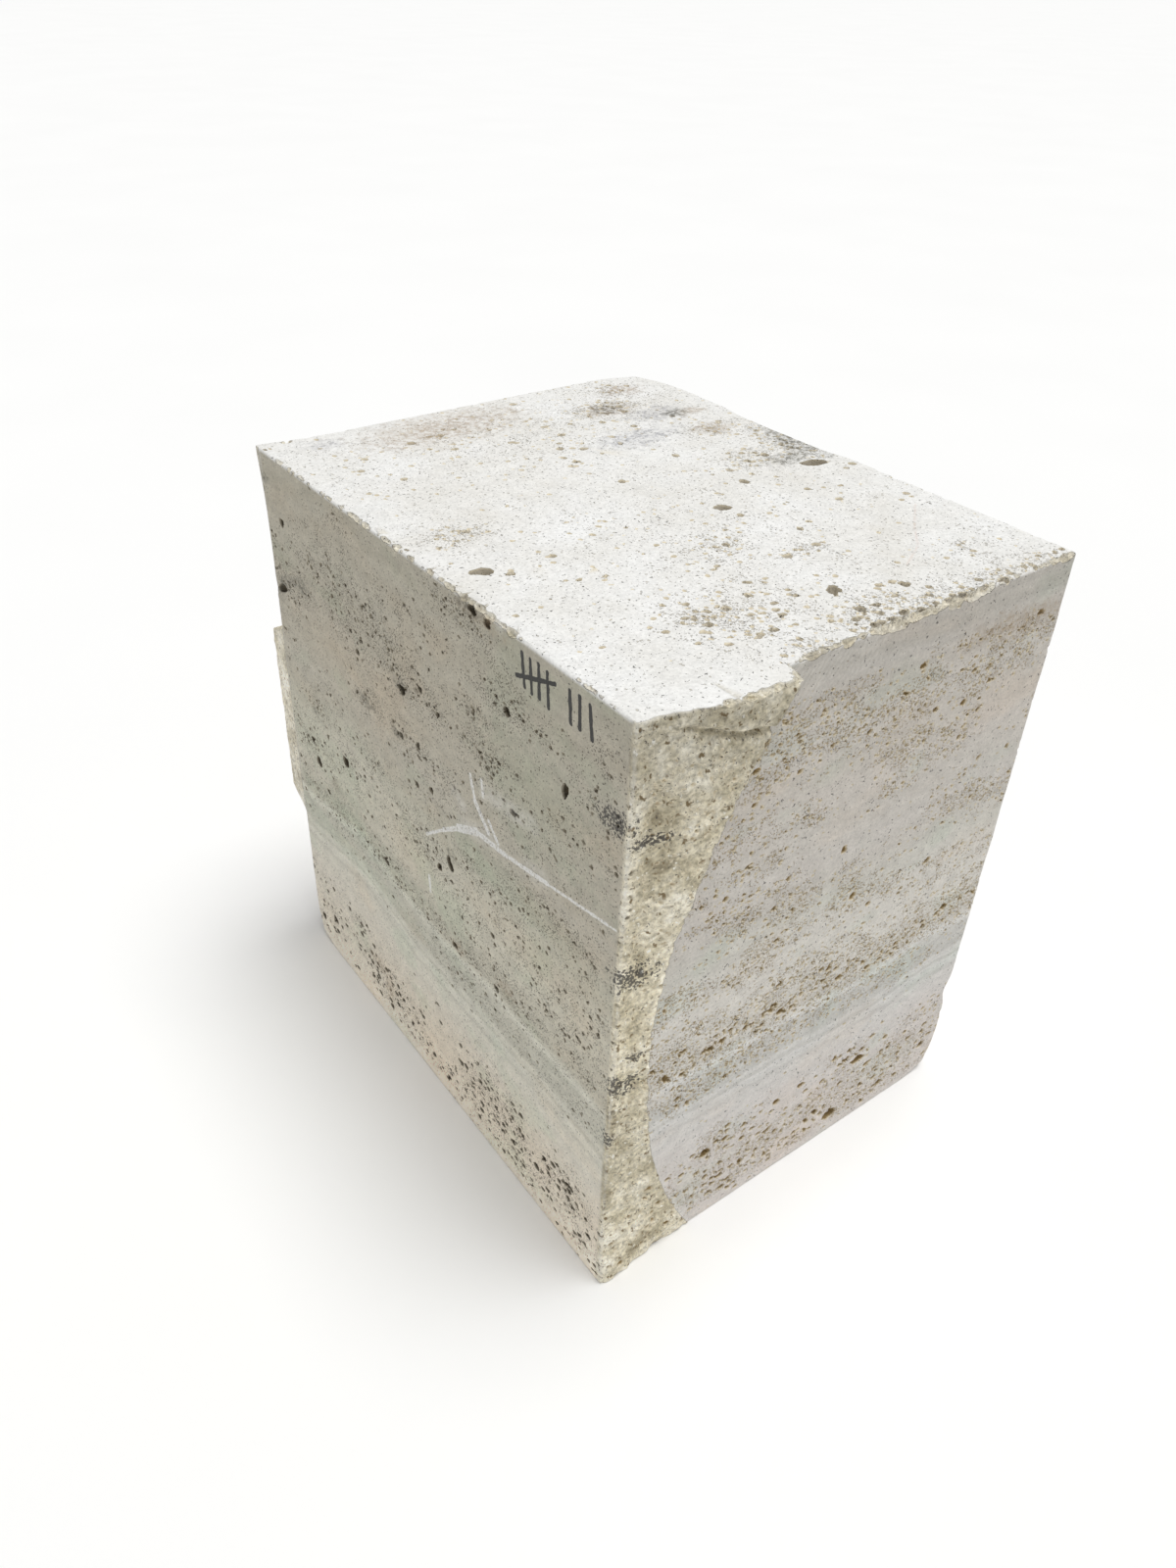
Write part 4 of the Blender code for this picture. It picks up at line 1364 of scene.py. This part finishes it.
def broken_stone_group():
    """Broken stone: grainy tan with brown specks and pale crystals, and its own relief."""
    tree, wires, given, result = new_group(
        "Broken Stone", (("Vector", ("Position",)),),
        (("Color", ("Colour",)), ("Float", ("Relief",))))
    place = given["Position"]
    broad = wires.noise(place, *BROKEN_BROAD)
    grain = wires.noise(place, *BROKEN_GRAIN)
    colour = wires.ramp(wires.span(broad, *BROKEN_SPREAD, *WHOLE), BROKEN_TONES)
    colour = wires.tint(colour, wires.span(grain, *MOSTLY, *BROKEN_GRAIN_SHADES))
    specks = wires.noise(wires.squash(place, 0.8), *BROKEN_SPECKS)
    colour = wires.mix(wires.step(specks, *SPECKS_FROM), colour, BROWN_SPECK)
    colour = wires.mix(wires.step(specks, *CRYSTALS_FROM), colour, PALE_CRYSTAL)
    relief = wires.times(grain, BROKEN_GRAIN_HIGH)
    relief = wires.plus(relief, wires.times(broad, BROKEN_BROAD_HIGH))
    wires.feed(result["Colour"], colour)
    wires.feed(result["Relief"], relief)
    return tree


def saw_mark_group():
    """Fine grooves along arcs of one circle: a wave of the distance to it, broken by noise."""
    tree, wires, given, result = new_group(
        "Saw Marks", (("Vector", ("Position",)), ("Float", ("Distance",))),
        (("Float", ("Mask",)),))
    patches = wires.noise(given["Position"], *SAW_PATCHES)
    turn = wires.times(given["Distance"], math.tau / SAW_PITCH)
    turn = wires.plus(turn, wires.times(patches, SAW_SHIFT))
    wave = wires.span(wires.math("SINE", turn), -1.0, 1.0, *WHOLE)
    wires.feed(result["Mask"], wires.times(wave, wires.step(patches, *SAW_PATCHES_FROM)))
    return tree


def nearest_edge(wires, x, y, z):
    """Distance to the nearest edge of the box: the middle one of the three gaps to its faces."""
    gap_x = wires.minus(float(HIGH[0]), wires.math("ABSOLUTE", x))
    gap_y = wires.minus(float(HIGH[1]), wires.math("ABSOLUTE", y))
    middle = wires.minus(z, HEIGHT / 2)
    gap_z = wires.minus(HEIGHT / 2, wires.math("ABSOLUTE", middle))
    low = wires.smaller(gap_x, gap_y)
    high = wires.larger(gap_x, gap_y)
    return wires.larger(low, wires.smaller(high, gap_z))


def on_side(rows):
    """Strokes given across and up the side face, as ends in the block and a width."""
    return [((LOW[0], *row[:2]), (LOW[0], *row[2:4]), *row[4:]) for row in rows]


def on_top(rows):
    """Strokes given across the top, as ends in the block and a width."""
    return [((*row[:2], HEIGHT), (*row[2:4], HEIGHT), *row[4:]) for row in rows]


def strokes(stone, waver, ends, softness):
    """One mask for many strokes, each given by its two ends and its width."""
    mask = 0.0
    for start, end, width in ends:
        mask = stone.wires.group(
            stone.stroke, Position=stone.place, Start=start, End=end, Width=width,
            Softness=softness, Waver=waver, Others=mask)["Mask"]
    return mask


def spots(stone, places):
    """One mask for many stains, each given by its middle and half size."""
    mask = 0.0
    for row in places:
        mask = stone.wires.group(
            stone.spot, Position=stone.place, Centre=row[:3], Size=row[3:], Waver=stone.blur,
            Others=mask)["Mask"]
    return mask


def stone_fields(wires, colours):
    """What every layer of the stone reads: place, carved fields, groups, noises and masks."""
    stone = SimpleNamespace(wires=wires, colours=colours)
    place = stone.place = wires.node("ShaderNodeTexCoord").outputs["Object"]
    x, y, z = wires.parts(place)
    stone.hollow, stone.chip, share = (
        wires.node("ShaderNodeAttribute", attribute_name=name).outputs["Fac"]
        for name in ("hollow", "chip", "open"))
    stone.beds = wires.group(bed_group(), Position=place)["Colour"]
    stone.pores = wires.group(fine_pore_group(), Position=place, Open=share)["Mask"]
    broken = wires.group(broken_stone_group(), Position=place)
    stone.broken, stone.relief = broken["Colour"], broken["Relief"]
    arc, stone.stroke, stone.spot, stone.saw = (
        arc_group(), stroke_group(), spot_group(), saw_mark_group())
    stone.ragged = wires.noise(place, *RAGGED)
    stone.grain = wires.noise(place, *GRAIN)
    stone.waver = wires.span(stone.ragged, *MOSTLY, -WAVER, WAVER)
    stone.blur = wires.span(stone.ragged, 0.25, 0.75, -BLUR, BLUR)
    stone.level = wires.math("DIVIDE", z, HEIGHT)
    stone.side = wires.step(x, *SIDE_FROM)
    stone.front = wires.step(y, *FRONT_FROM)
    stone.top = wires.step(z, *TOP_FROM)
    stone.blade = wires.group(
        arc, Position=place, Plane=(1.0, 0.0, 1.0), Radius=BLADE_RADIUS,
        Centre=(BLADE_CENTRE_X, 0.0, BLADE_CENTRE_Z))["Distance"]
    strip = wires.times(wires.step(stone.blade, *STRIP_FROM), stone.front)
    strip = wires.times(strip, wires.step(x, *STRIP_X))
    patch = wires.step(y, *PATCH_FROM)
    stone.rough = wires.times(wires.larger(strip, patch), wires.step(z, *UNDER_TOP))
    stone.sawn = wires.minus(1.0, stone.rough)
    stone.x, stone.y, stone.z = x, y, z
    return stone


def bedded_colour(stone):
    """Sawn stone: bed tones with painted light face by face (a warm painted bounce on the side,
    painted light and shadow by height on the side and front), pink and green parts, and the pale
    top, partly painted light.
    """
    wires, colours = stone.wires, stone.colours
    # Painted light: a warm cast over the side face stands for the warm light bounced onto it
    colour = wires.tint(stone.beds, colours["shade_cast"], stone.side)
    # Painted light and shadow: the side and the front made lighter or darker by height
    for face, shades in ((stone.side, SIDE_TONE_AND_LIGHT), (stone.front, FRONT_TONE_AND_LIGHT)):
        colour = wires.tint(colour, wires.by_height(stone.level, shades), face)
    for places, cast in ((PINK_PLACES, PINK_CAST), (GREEN_PLACES, GREEN_CAST)):
        colour = wires.tint(colour, cast, spots(stone, places))
    # The top's pale, bluish-white tone: partly the cross-cut stone, partly painted direct light
    clouds = wires.span(wires.noise(stone.place, *TOP_CLOUDS), *MOSTLY, *WHOLE)
    top_colour = wires.mix(clouds, colours["top_low"], colours["top_high"])
    colour = wires.mix(stone.top, colour, top_colour)
    colour = wires.tint(colour, wires.span(stone.grain, *GRAIN_SHADES))
    return wires.tint(colour, wires.span(stone.ragged, *RAGGED_SHADES))


def add_breaks(stone, colour):
    """Saw marks on the front, the tan broken stone, the blade's arc, chips and worn edges."""
    wires, scuff = stone.wires, stone.colours["scuff"]
    grooves = wires.group(stone.saw, Position=stone.place, Distance=stone.blade)["Mask"]
    grooves = wires.times(grooves, wires.step(stone.blade, *GROOVES_FROM))
    colour = wires.cover(colour, wires.times(grooves, stone.front), SHOWS["grooves"], scuff)
    broken = wires.tint(stone.broken, wires.by_height(stone.level, BROKEN_SHADES))
    colour = wires.mix(stone.rough, colour, broken)
    rim = wires.times(
        wires.step(stone.blade, *ARC_RIM), wires.step(stone.blade, *ARC_RIM_ENDS))
    colour = wires.cover(colour, wires.times(rim, stone.front), SHOWS["rim"], scuff)
    edge = nearest_edge(wires, stone.x, stone.y, stone.z)
    stone.tan = wires.times(wires.step(stone.chip, *CHIP_TAN), wires.step(edge, *CHIPS_WITHIN))
    colour = wires.cover(colour, stone.tan, SHOWS["tan"], stone.broken)
    worn = wires.step(wires.plus(edge, stone.waver), *POWDER_WITHIN)
    return wires.cover(colour, worn, SHOWS["powder"], scuff)


def add_pores(stone, colour):
    """Rims and floors of the carved pores and pits, each face with its own, the side's darker
    partly as painted shade, and fine pores.
    """
    wires, colours = stone.wires, stone.colours
    # Side pores darker than the rest: partly their dark fill, partly painted shade; fine pores
    # take the same floor
    rim = wires.mix(stone.side, colours["pore_rim"], colours["side_pore_rim"])
    near_top = wires.step(stone.z, *NEAR_TOP_FROM)
    floor = wires.mix(near_top, colours["pore_floor"], colours["top_pore_floor"])
    floor = wires.mix(stone.side, floor, colours["side_pore_floor"])
    floor = wires.mix(stone.top, floor, colours["top_pore_floor"])
    colour = wires.mix(wires.step(stone.hollow, *HOLLOW_RIM), colour, rim)
    colour = wires.mix(wires.step(stone.hollow, *HOLLOW_FLOOR), colour, floor)
    stone.fine = wires.times(stone.pores, stone.sawn)
    return wires.cover(colour, stone.fine, SHOWS["fine pores"], floor)


def add_stains(stone, colour):
    """Dark mineral as sparkling specks, then the speckled stains."""
    wires, colours = stone.wires, stone.colours
    minerals = spots(stone, MINERALS)
    sparkle = wires.span(wires.noise(stone.place, *SPARKLE), *MOSTLY, *SPARKLE_ADDS)
    specks = wires.step(wires.plus(minerals, sparkle), *MINERAL_FROM)
    colour = wires.cover(colour, specks, SHOWS["mineral"], colours["mineral"])
    speckle = wires.step(wires.noise(stone.place, *SPECKLE), *SPECKLE_FROM)
    speckle = wires.span(speckle, *WHOLE, *SPECKLE_SHOWS)
    for places, shade, strength in STAINS:
        stained = wires.times(spots(stone, places), speckle)
        colour = wires.cover(colour, stained, strength, colours[shade])
    return colour


def add_marks(stone, colour):
    """Scratches, smears, scuffs and the vein, then the ink tally, which is kept as a mask."""
    wires, colours = stone.wires, stone.colours
    slim = wires.times(stone.waver, SLIM)
    broken_up = wires.span(stone.ragged, *SMEAR_BROKEN)
    scratched = strokes(stone, slim, on_side(SIDE_SCRATCHES), SCRATCH_SOFT)
    scratched = wires.times(scratched, wires.span(stone.grain, *SCRATCH_BROKEN))
    smeared = strokes(stone, stone.waver, on_side(SIDE_SMEARS), SMEAR_SOFT)
    scuffed = strokes(stone, stone.waver, on_top(TOP_SCUFFS), SCUFF_SOFT)
    smear = wires.times(wires.larger(smeared, scuffed), broken_up)
    white = wires.larger(scratched, wires.times(smear, SHOWS["smears"]))
    colour = wires.mix(white, colour, colours["scuff"])
    vein = strokes(stone, stone.waver, on_top(PINK_VEIN), VEIN_SOFT)
    vein = wires.times(vein, broken_up)
    colour = wires.cover(colour, vein, SHOWS["vein"], colours["vein"])
    ink = strokes(stone, slim, on_side([(*row, INK_WIDTH) for row in INK]), INK_SOFT)
    stone.ink = wires.times(ink, wires.step(stone.hollow, *HOLLOW_BARE))
    return wires.cover(colour, stone.ink, SHOWS["ink"], colours["ink"])


def stone_roughness(stone):
    """Sawn stone with a slight sheen, dull where broken or hollow, smoother under ink."""
    wires = stone.wires
    rough = wires.span(stone.ragged, *MOSTLY, *SAWN_ROUGH)
    rough = wires.larger(rough, wires.times(stone.rough, BROKEN_ROUGH))
    hollow = wires.step(stone.hollow, *HOLLOW_DULL)
    rough = wires.larger(rough, wires.times(hollow, HOLLOW_ROUGH))
    return wires.minus(rough, wires.times(stone.ink, INK_SMOOTHS))


def stone_relief(stone):
    """Height of the grain in metres, less the fine pores, with the broken stone's own relief."""
    wires = stone.wires
    height = wires.times(stone.grain, GRAIN_HIGH)
    height = wires.plus(height, wires.times(stone.ragged, RAGGED_HIGH))
    height = wires.minus(height, wires.times(stone.fine, FINE_DEEP))
    return wires.plus(height, wires.times(stone.relief, wires.larger(stone.rough, stone.tan)))


def stone_material(colours):
    """Bedded travertine with open pores, broken strips, stains, scratches and an ink tally."""
    material = bpy.data.materials.new("travertine_stone")
    material.use_nodes = True
    wires = Wiring(material.node_tree)
    stone = stone_fields(wires, colours)
    colour = bedded_colour(stone)
    for add_layer in (add_breaks, add_pores, add_stains, add_marks):
        colour = add_layer(stone, colour)
    rough = stone_roughness(stone)
    bump = wires.node("ShaderNodeBump", {
        "Height": stone_relief(stone), "Distance": 1.0, "Strength": 1.0})
    shader = material.node_tree.nodes["Principled BSDF"]
    shader.inputs["Metallic"].default_value = 0.0
    shader.inputs["Specular IOR Level"].default_value = 0.35
    wires.feed(shader.inputs["Base Color"], colour)
    wires.feed(shader.inputs["Roughness"], rough)
    wires.feed(shader.inputs["Normal"], bump.outputs["Normal"])
    return material


def floor_material(colour):
    """Plain pale studio floor with a faint unevenness."""
    material = bpy.data.materials.new("studio_floor")
    material.use_nodes = True
    wires = Wiring(material.node_tree)
    place = wires.node("ShaderNodeTexCoord").outputs["Object"]
    uneven = wires.span(wires.noise(place, *FLOOR_CLOUDS), *MOSTLY, 0.985, 1.0)
    shader = material.node_tree.nodes["Principled BSDF"]
    wires.feed(shader.inputs["Base Color"], wires.tint(colour, uneven))
    shader.inputs["Roughness"].default_value = 0.9
    shader.inputs["Specular IOR Level"].default_value = 0.2
    return material


# ---------------------------------------------------------------- settings


class StoneShape(bpy.types.PropertyGroup):
    """Sizes of the block that a user may change."""

    edge_wear: FloatProperty(
        name="Edge Wear", description="Radius rubbed off every edge", default=0.0016,
        min=0.0006, max=0.006, precision=4, subtype="DISTANCE", unit="LENGTH")
    ledge_depth: FloatProperty(
        name="Ledge Depth", description="Depth of the saw ledge on the side face",
        default=0.0003, min=0.0, max=0.004, precision=4, subtype="DISTANCE", unit="LENGTH")
    pore_depth_share: FloatProperty(
        name="Pore Depth", description="How deep the natural pores are, as a share of full depth",
        default=1.0, min=0.0, max=1.5, subtype="FACTOR")
    broken_relief: FloatProperty(
        name="Broken Relief", description="How rough the broken strip and patch are",
        default=1.0, min=0.0, max=2.0, subtype="FACTOR")
    triangles: IntProperty(
        name="Triangles", description="Triangles that the finished stone is thinned to",
        default=188000, min=20000, max=199000)
    sharp_angle: FloatProperty(
        name="Sharp Angle", description="Faces that meet at more than this angle stay crisp",
        default=math.radians(32), min=0.0, max=math.pi, subtype="ANGLE", unit="ROTATION")


def colour_setting(label, description, default):
    """A colour that the user may change."""
    return FloatVectorProperty(
        name=label, description=description, default=default, size=4, min=0.0, max=1.2,
        subtype="COLOR")


class StoneColours(bpy.types.PropertyGroup):
    """Colours of the block that a user may change."""

    # Painted light: the side cast is a warm tint for the warm light bounced onto the side face
    shade_cast: colour_setting(
        "Side Cast", "Painted warm bounce light over the side face",
        (0.995, 0.985, 0.893, 1.0))
    # Tones of the top: partly the cross-cut stone, partly painted direct light
    top_low: colour_setting("Top, Darker", "Darker tone of the cross-cut top", tone(229, 227, 221))
    top_high: colour_setting("Top, Paler", "Paler tone of the cross-cut top", tone(241, 241, 239))
    scuff: colour_setting("Scuffs", "Bruised and powdered stone", tone(243, 242, 238))
    pore_rim: colour_setting("Pore Rims", "Rims of open pores", tone(230, 220, 196))
    pore_floor: colour_setting("Pore Floors", "Floors of open pores", tone(174, 151, 108))
    top_pore_floor: colour_setting(
        "Top Pore Floors", "Floors of pores near the top", tone(194, 187, 172))
    # Side pore colours: partly their dark fill, partly painted shade
    side_pore_rim: colour_setting(
        "Side Pore Rims", "Rims of pores on the side face", tone(172, 164, 146))
    side_pore_floor: colour_setting(
        "Side Pore Floors", "Floors of pores on the side face", tone(94, 86, 71))
    mineral: colour_setting("Dark Mineral", "Dark mineral by the near corner", tone(74, 72, 70))
    grey_stain: colour_setting("Grey Stains", "Bluish grey stains", tone(150, 150, 156))
    brown_stain: colour_setting("Brown Stains", "Brown stains", tone(170, 150, 125))
    # Dark stains, with painted shade in the two by the right edge of the top
    dark_stain_and_shade: colour_setting("Dark Stains", "Dark green-grey stains", tone(112, 110, 100))
    vein: colour_setting("Vein", "Pink vein across the top", tone(214, 176, 160))
    ink: colour_setting("Ink", "Ink of the tally strokes", tone(28, 28, 30))


class StudioSettings(bpy.types.PropertyGroup):
    """Floor, light and fill of the studio."""

    floor_size: FloatProperty(
        name="Floor Size", description="Length of one side of the floor", default=120.0,
        min=4.0, subtype="DISTANCE", unit="LENGTH")
    floor_colour: colour_setting("Floor", "Colour of the floor", tone(249, 249, 248))
    key_strength: FloatProperty(
        name="Key Light", description="Strength of the large soft light overhead", default=2.25,
        min=0.0)
    key_softness: FloatProperty(
        name="Key Softness", description="Angle that the soft light fills, seen from the block",
        default=math.radians(30), min=0.0, max=math.pi, subtype="ANGLE", unit="ROTATION")
    key_way: FloatVectorProperty(
        name="Key Way", description="Way from the block to the soft light",
        default=(0.14, -0.12, 1.0), size=3, subtype="DIRECTION")
    fill: FloatProperty(
        name="Fill", description="Brightness of the even light from all round", default=0.36,
        min=0.0, max=2.0)
    wall: FloatProperty(
        name="Wall", description="Brightness at which the camera sees what lies past the floor",
        default=0.90, min=0.0, max=2.0)


# ---------------------------------------------------------------- operators


class STONE_OT_block(bpy.types.Operator):
    """Build the worn, pitted block and its stone"""

    bl_idname = "stone.block"
    bl_label = "Build Block"

    def execute(self, context):
        shape = context.scene.stone_shape
        colours = read_colours(context.scene.stone_colours)
        points, quads, fields = stone_points(shape)
        rough = mesh_from_grid("stone_grid", points, quads)
        for name, values in fields.items():
            layer = rough.attributes.new(name, "FLOAT", "POINT")
            layer.data.foreach_set("value", values.astype(np.float32))
        mesh = thin_out(context, rough, shape.triangles)
        mesh.name = "stone_block"
        mesh.shade_smooth()
        mesh.set_sharp_from_angle(angle=shape.sharp_angle)
        mesh.materials.append(stone_material(colours))
        block = bpy.data.objects.new("stone_block", mesh)
        context.scene.collection.objects.link(block)
        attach(block, "root")
        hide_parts(NODE)
        return {"FINISHED"}


def setting_names(group):
    """Names of the settings in a group, without the two that every group has."""
    names = [setting.identifier for setting in group.bl_rna.properties]
    return [name for name in names if name not in ("rna_type", "name")]


def read_colours(group):
    """The colours of a settings group, by name."""
    return {name: tuple(getattr(group, name)) for name in setting_names(group)}


def thin_out(context, mesh, triangles):
    """Merge what is flat until the mesh has the given number of triangles."""
    carrier = bpy.data.objects.new("stone_grid", mesh)
    context.scene.collection.objects.link(carrier)
    step = carrier.modifiers.new("thin", "DECIMATE")
    step.ratio = triangles / (2 * len(mesh.polygons))
    evaluated = carrier.evaluated_get(context.evaluated_depsgraph_get())
    thinned = bpy.data.meshes.new_from_object(evaluated)
    bpy.data.objects.remove(carrier, do_unlink=True)
    bpy.data.meshes.remove(mesh)
    if not 0 < len(thinned.polygons) < MOST_TRIANGLES:
        raise RuntimeError(f"the stone has {len(thinned.polygons)} faces")
    return thinned


class STONE_OT_stage(bpy.types.Operator):
    """Lay the floor, hang the light and set the camera"""

    bl_idname = "stone.stage"
    bl_label = "Build Stage"

    def execute(self, context):
        studio = context.scene.stone_studio
        lay_floor(context, studio)
        hang_light(context, studio)
        set_world(context, studio)
        set_camera(context)
        context.scene.view_settings.view_transform = "Standard"
        return {"FINISHED"}


def lay_floor(context, studio):
    """A flat square under the block."""
    half = studio.floor_size / 2
    across = np.array([-half, half])
    x, y = np.meshgrid(across, across, indexing="ij")
    corners = np.stack([x, y, np.zeros_like(x)], axis=-1).reshape(-1, 3)
    mesh = bpy.data.meshes.new("studio_floor")
    mesh.from_pydata(corners.tolist(), [], [(0, 2, 3, 1)])
    mesh.materials.append(floor_material(studio.floor_colour))
    floor = bpy.data.objects.new("studio_floor", mesh)
    context.scene.collection.objects.link(floor)


def hang_light(context, studio):
    """A wide soft light from above that reaches the whole floor evenly."""
    lamp = bpy.data.lights.new("soft_key", "SUN")
    lamp.energy = studio.key_strength
    lamp.angle = studio.key_softness
    light = bpy.data.objects.new("soft_key", lamp)
    way = Vector(studio.key_way)
    light.location = way.normalized() * LIGHT_AWAY
    light.rotation_euler = way.to_track_quat("Z", "Y").to_euler()
    context.scene.collection.objects.link(light)


def set_world(context, studio):
    """Even white light from all round, which the camera sees as a pale wall."""
    world = bpy.data.worlds.new("studio_fill")
    world.use_nodes = True
    wires = Wiring(world.node_tree)
    backdrop = world.node_tree.nodes["Background"]
    backdrop.inputs["Color"].default_value = (1.0, 1.0, 1.0, 1.0)
    seen = wires.node("ShaderNodeLightPath").outputs["Is Camera Ray"]
    strength = wires.span(seen, 0.0, 1.0, studio.fill, studio.wall)
    wires.feed(backdrop.inputs["Strength"], strength)
    context.scene.world = world


def set_camera(context):
    """The camera at the chosen view."""
    lens = bpy.data.cameras.new("view")
    lens.lens = CAMERA_LENS
    lens.shift_x, lens.shift_y = CAMERA_SHIFT
    camera = bpy.data.objects.new("view", lens)
    camera.location = CAMERA_PLACE
    camera.rotation_euler = Euler([math.radians(turn) for turn in CAMERA_TURN])
    context.scene.collection.objects.link(camera)
    context.scene.camera = camera


class STONE_PT_panel(bpy.types.Panel):
    """Buttons and settings of the block and its stage"""

    bl_idname = "STONE_PT_panel"
    bl_label = "Travertine Block"
    bl_space_type = "VIEW_3D"
    bl_region_type = "UI"
    bl_category = "Stone"

    def draw(self, context):
        layout = self.layout
        for operator in OPERATORS:
            layout.operator(operator.bl_idname)
        for name in SETTINGS:
            group = getattr(context.scene, name)
            box = layout.box()
            for setting in setting_names(group):
                box.prop(group, setting)


OPERATORS = (STONE_OT_block, STONE_OT_stage)
SETTINGS = {
    "stone_shape": StoneShape,
    "stone_colours": StoneColours,
    "stone_studio": StudioSettings,
}


def register():
    for group in SETTINGS.values():
        bpy.utils.register_class(group)
    for operator in OPERATORS:
        bpy.utils.register_class(operator)
    bpy.utils.register_class(STONE_PT_panel)
    for name, group in SETTINGS.items():
        setattr(bpy.types.Scene, name, PointerProperty(type=group))


def unregister():
    for name in SETTINGS:
        delattr(bpy.types.Scene, name)
    bpy.utils.unregister_class(STONE_PT_panel)
    for operator in reversed(OPERATORS):
        bpy.utils.unregister_class(operator)
    for group in reversed(SETTINGS.values()):
        bpy.utils.unregister_class(group)


def main():
    register()
    bpy.ops.stone.block()
    bpy.ops.stone.stage()


if __name__ == "__main__":
    main()
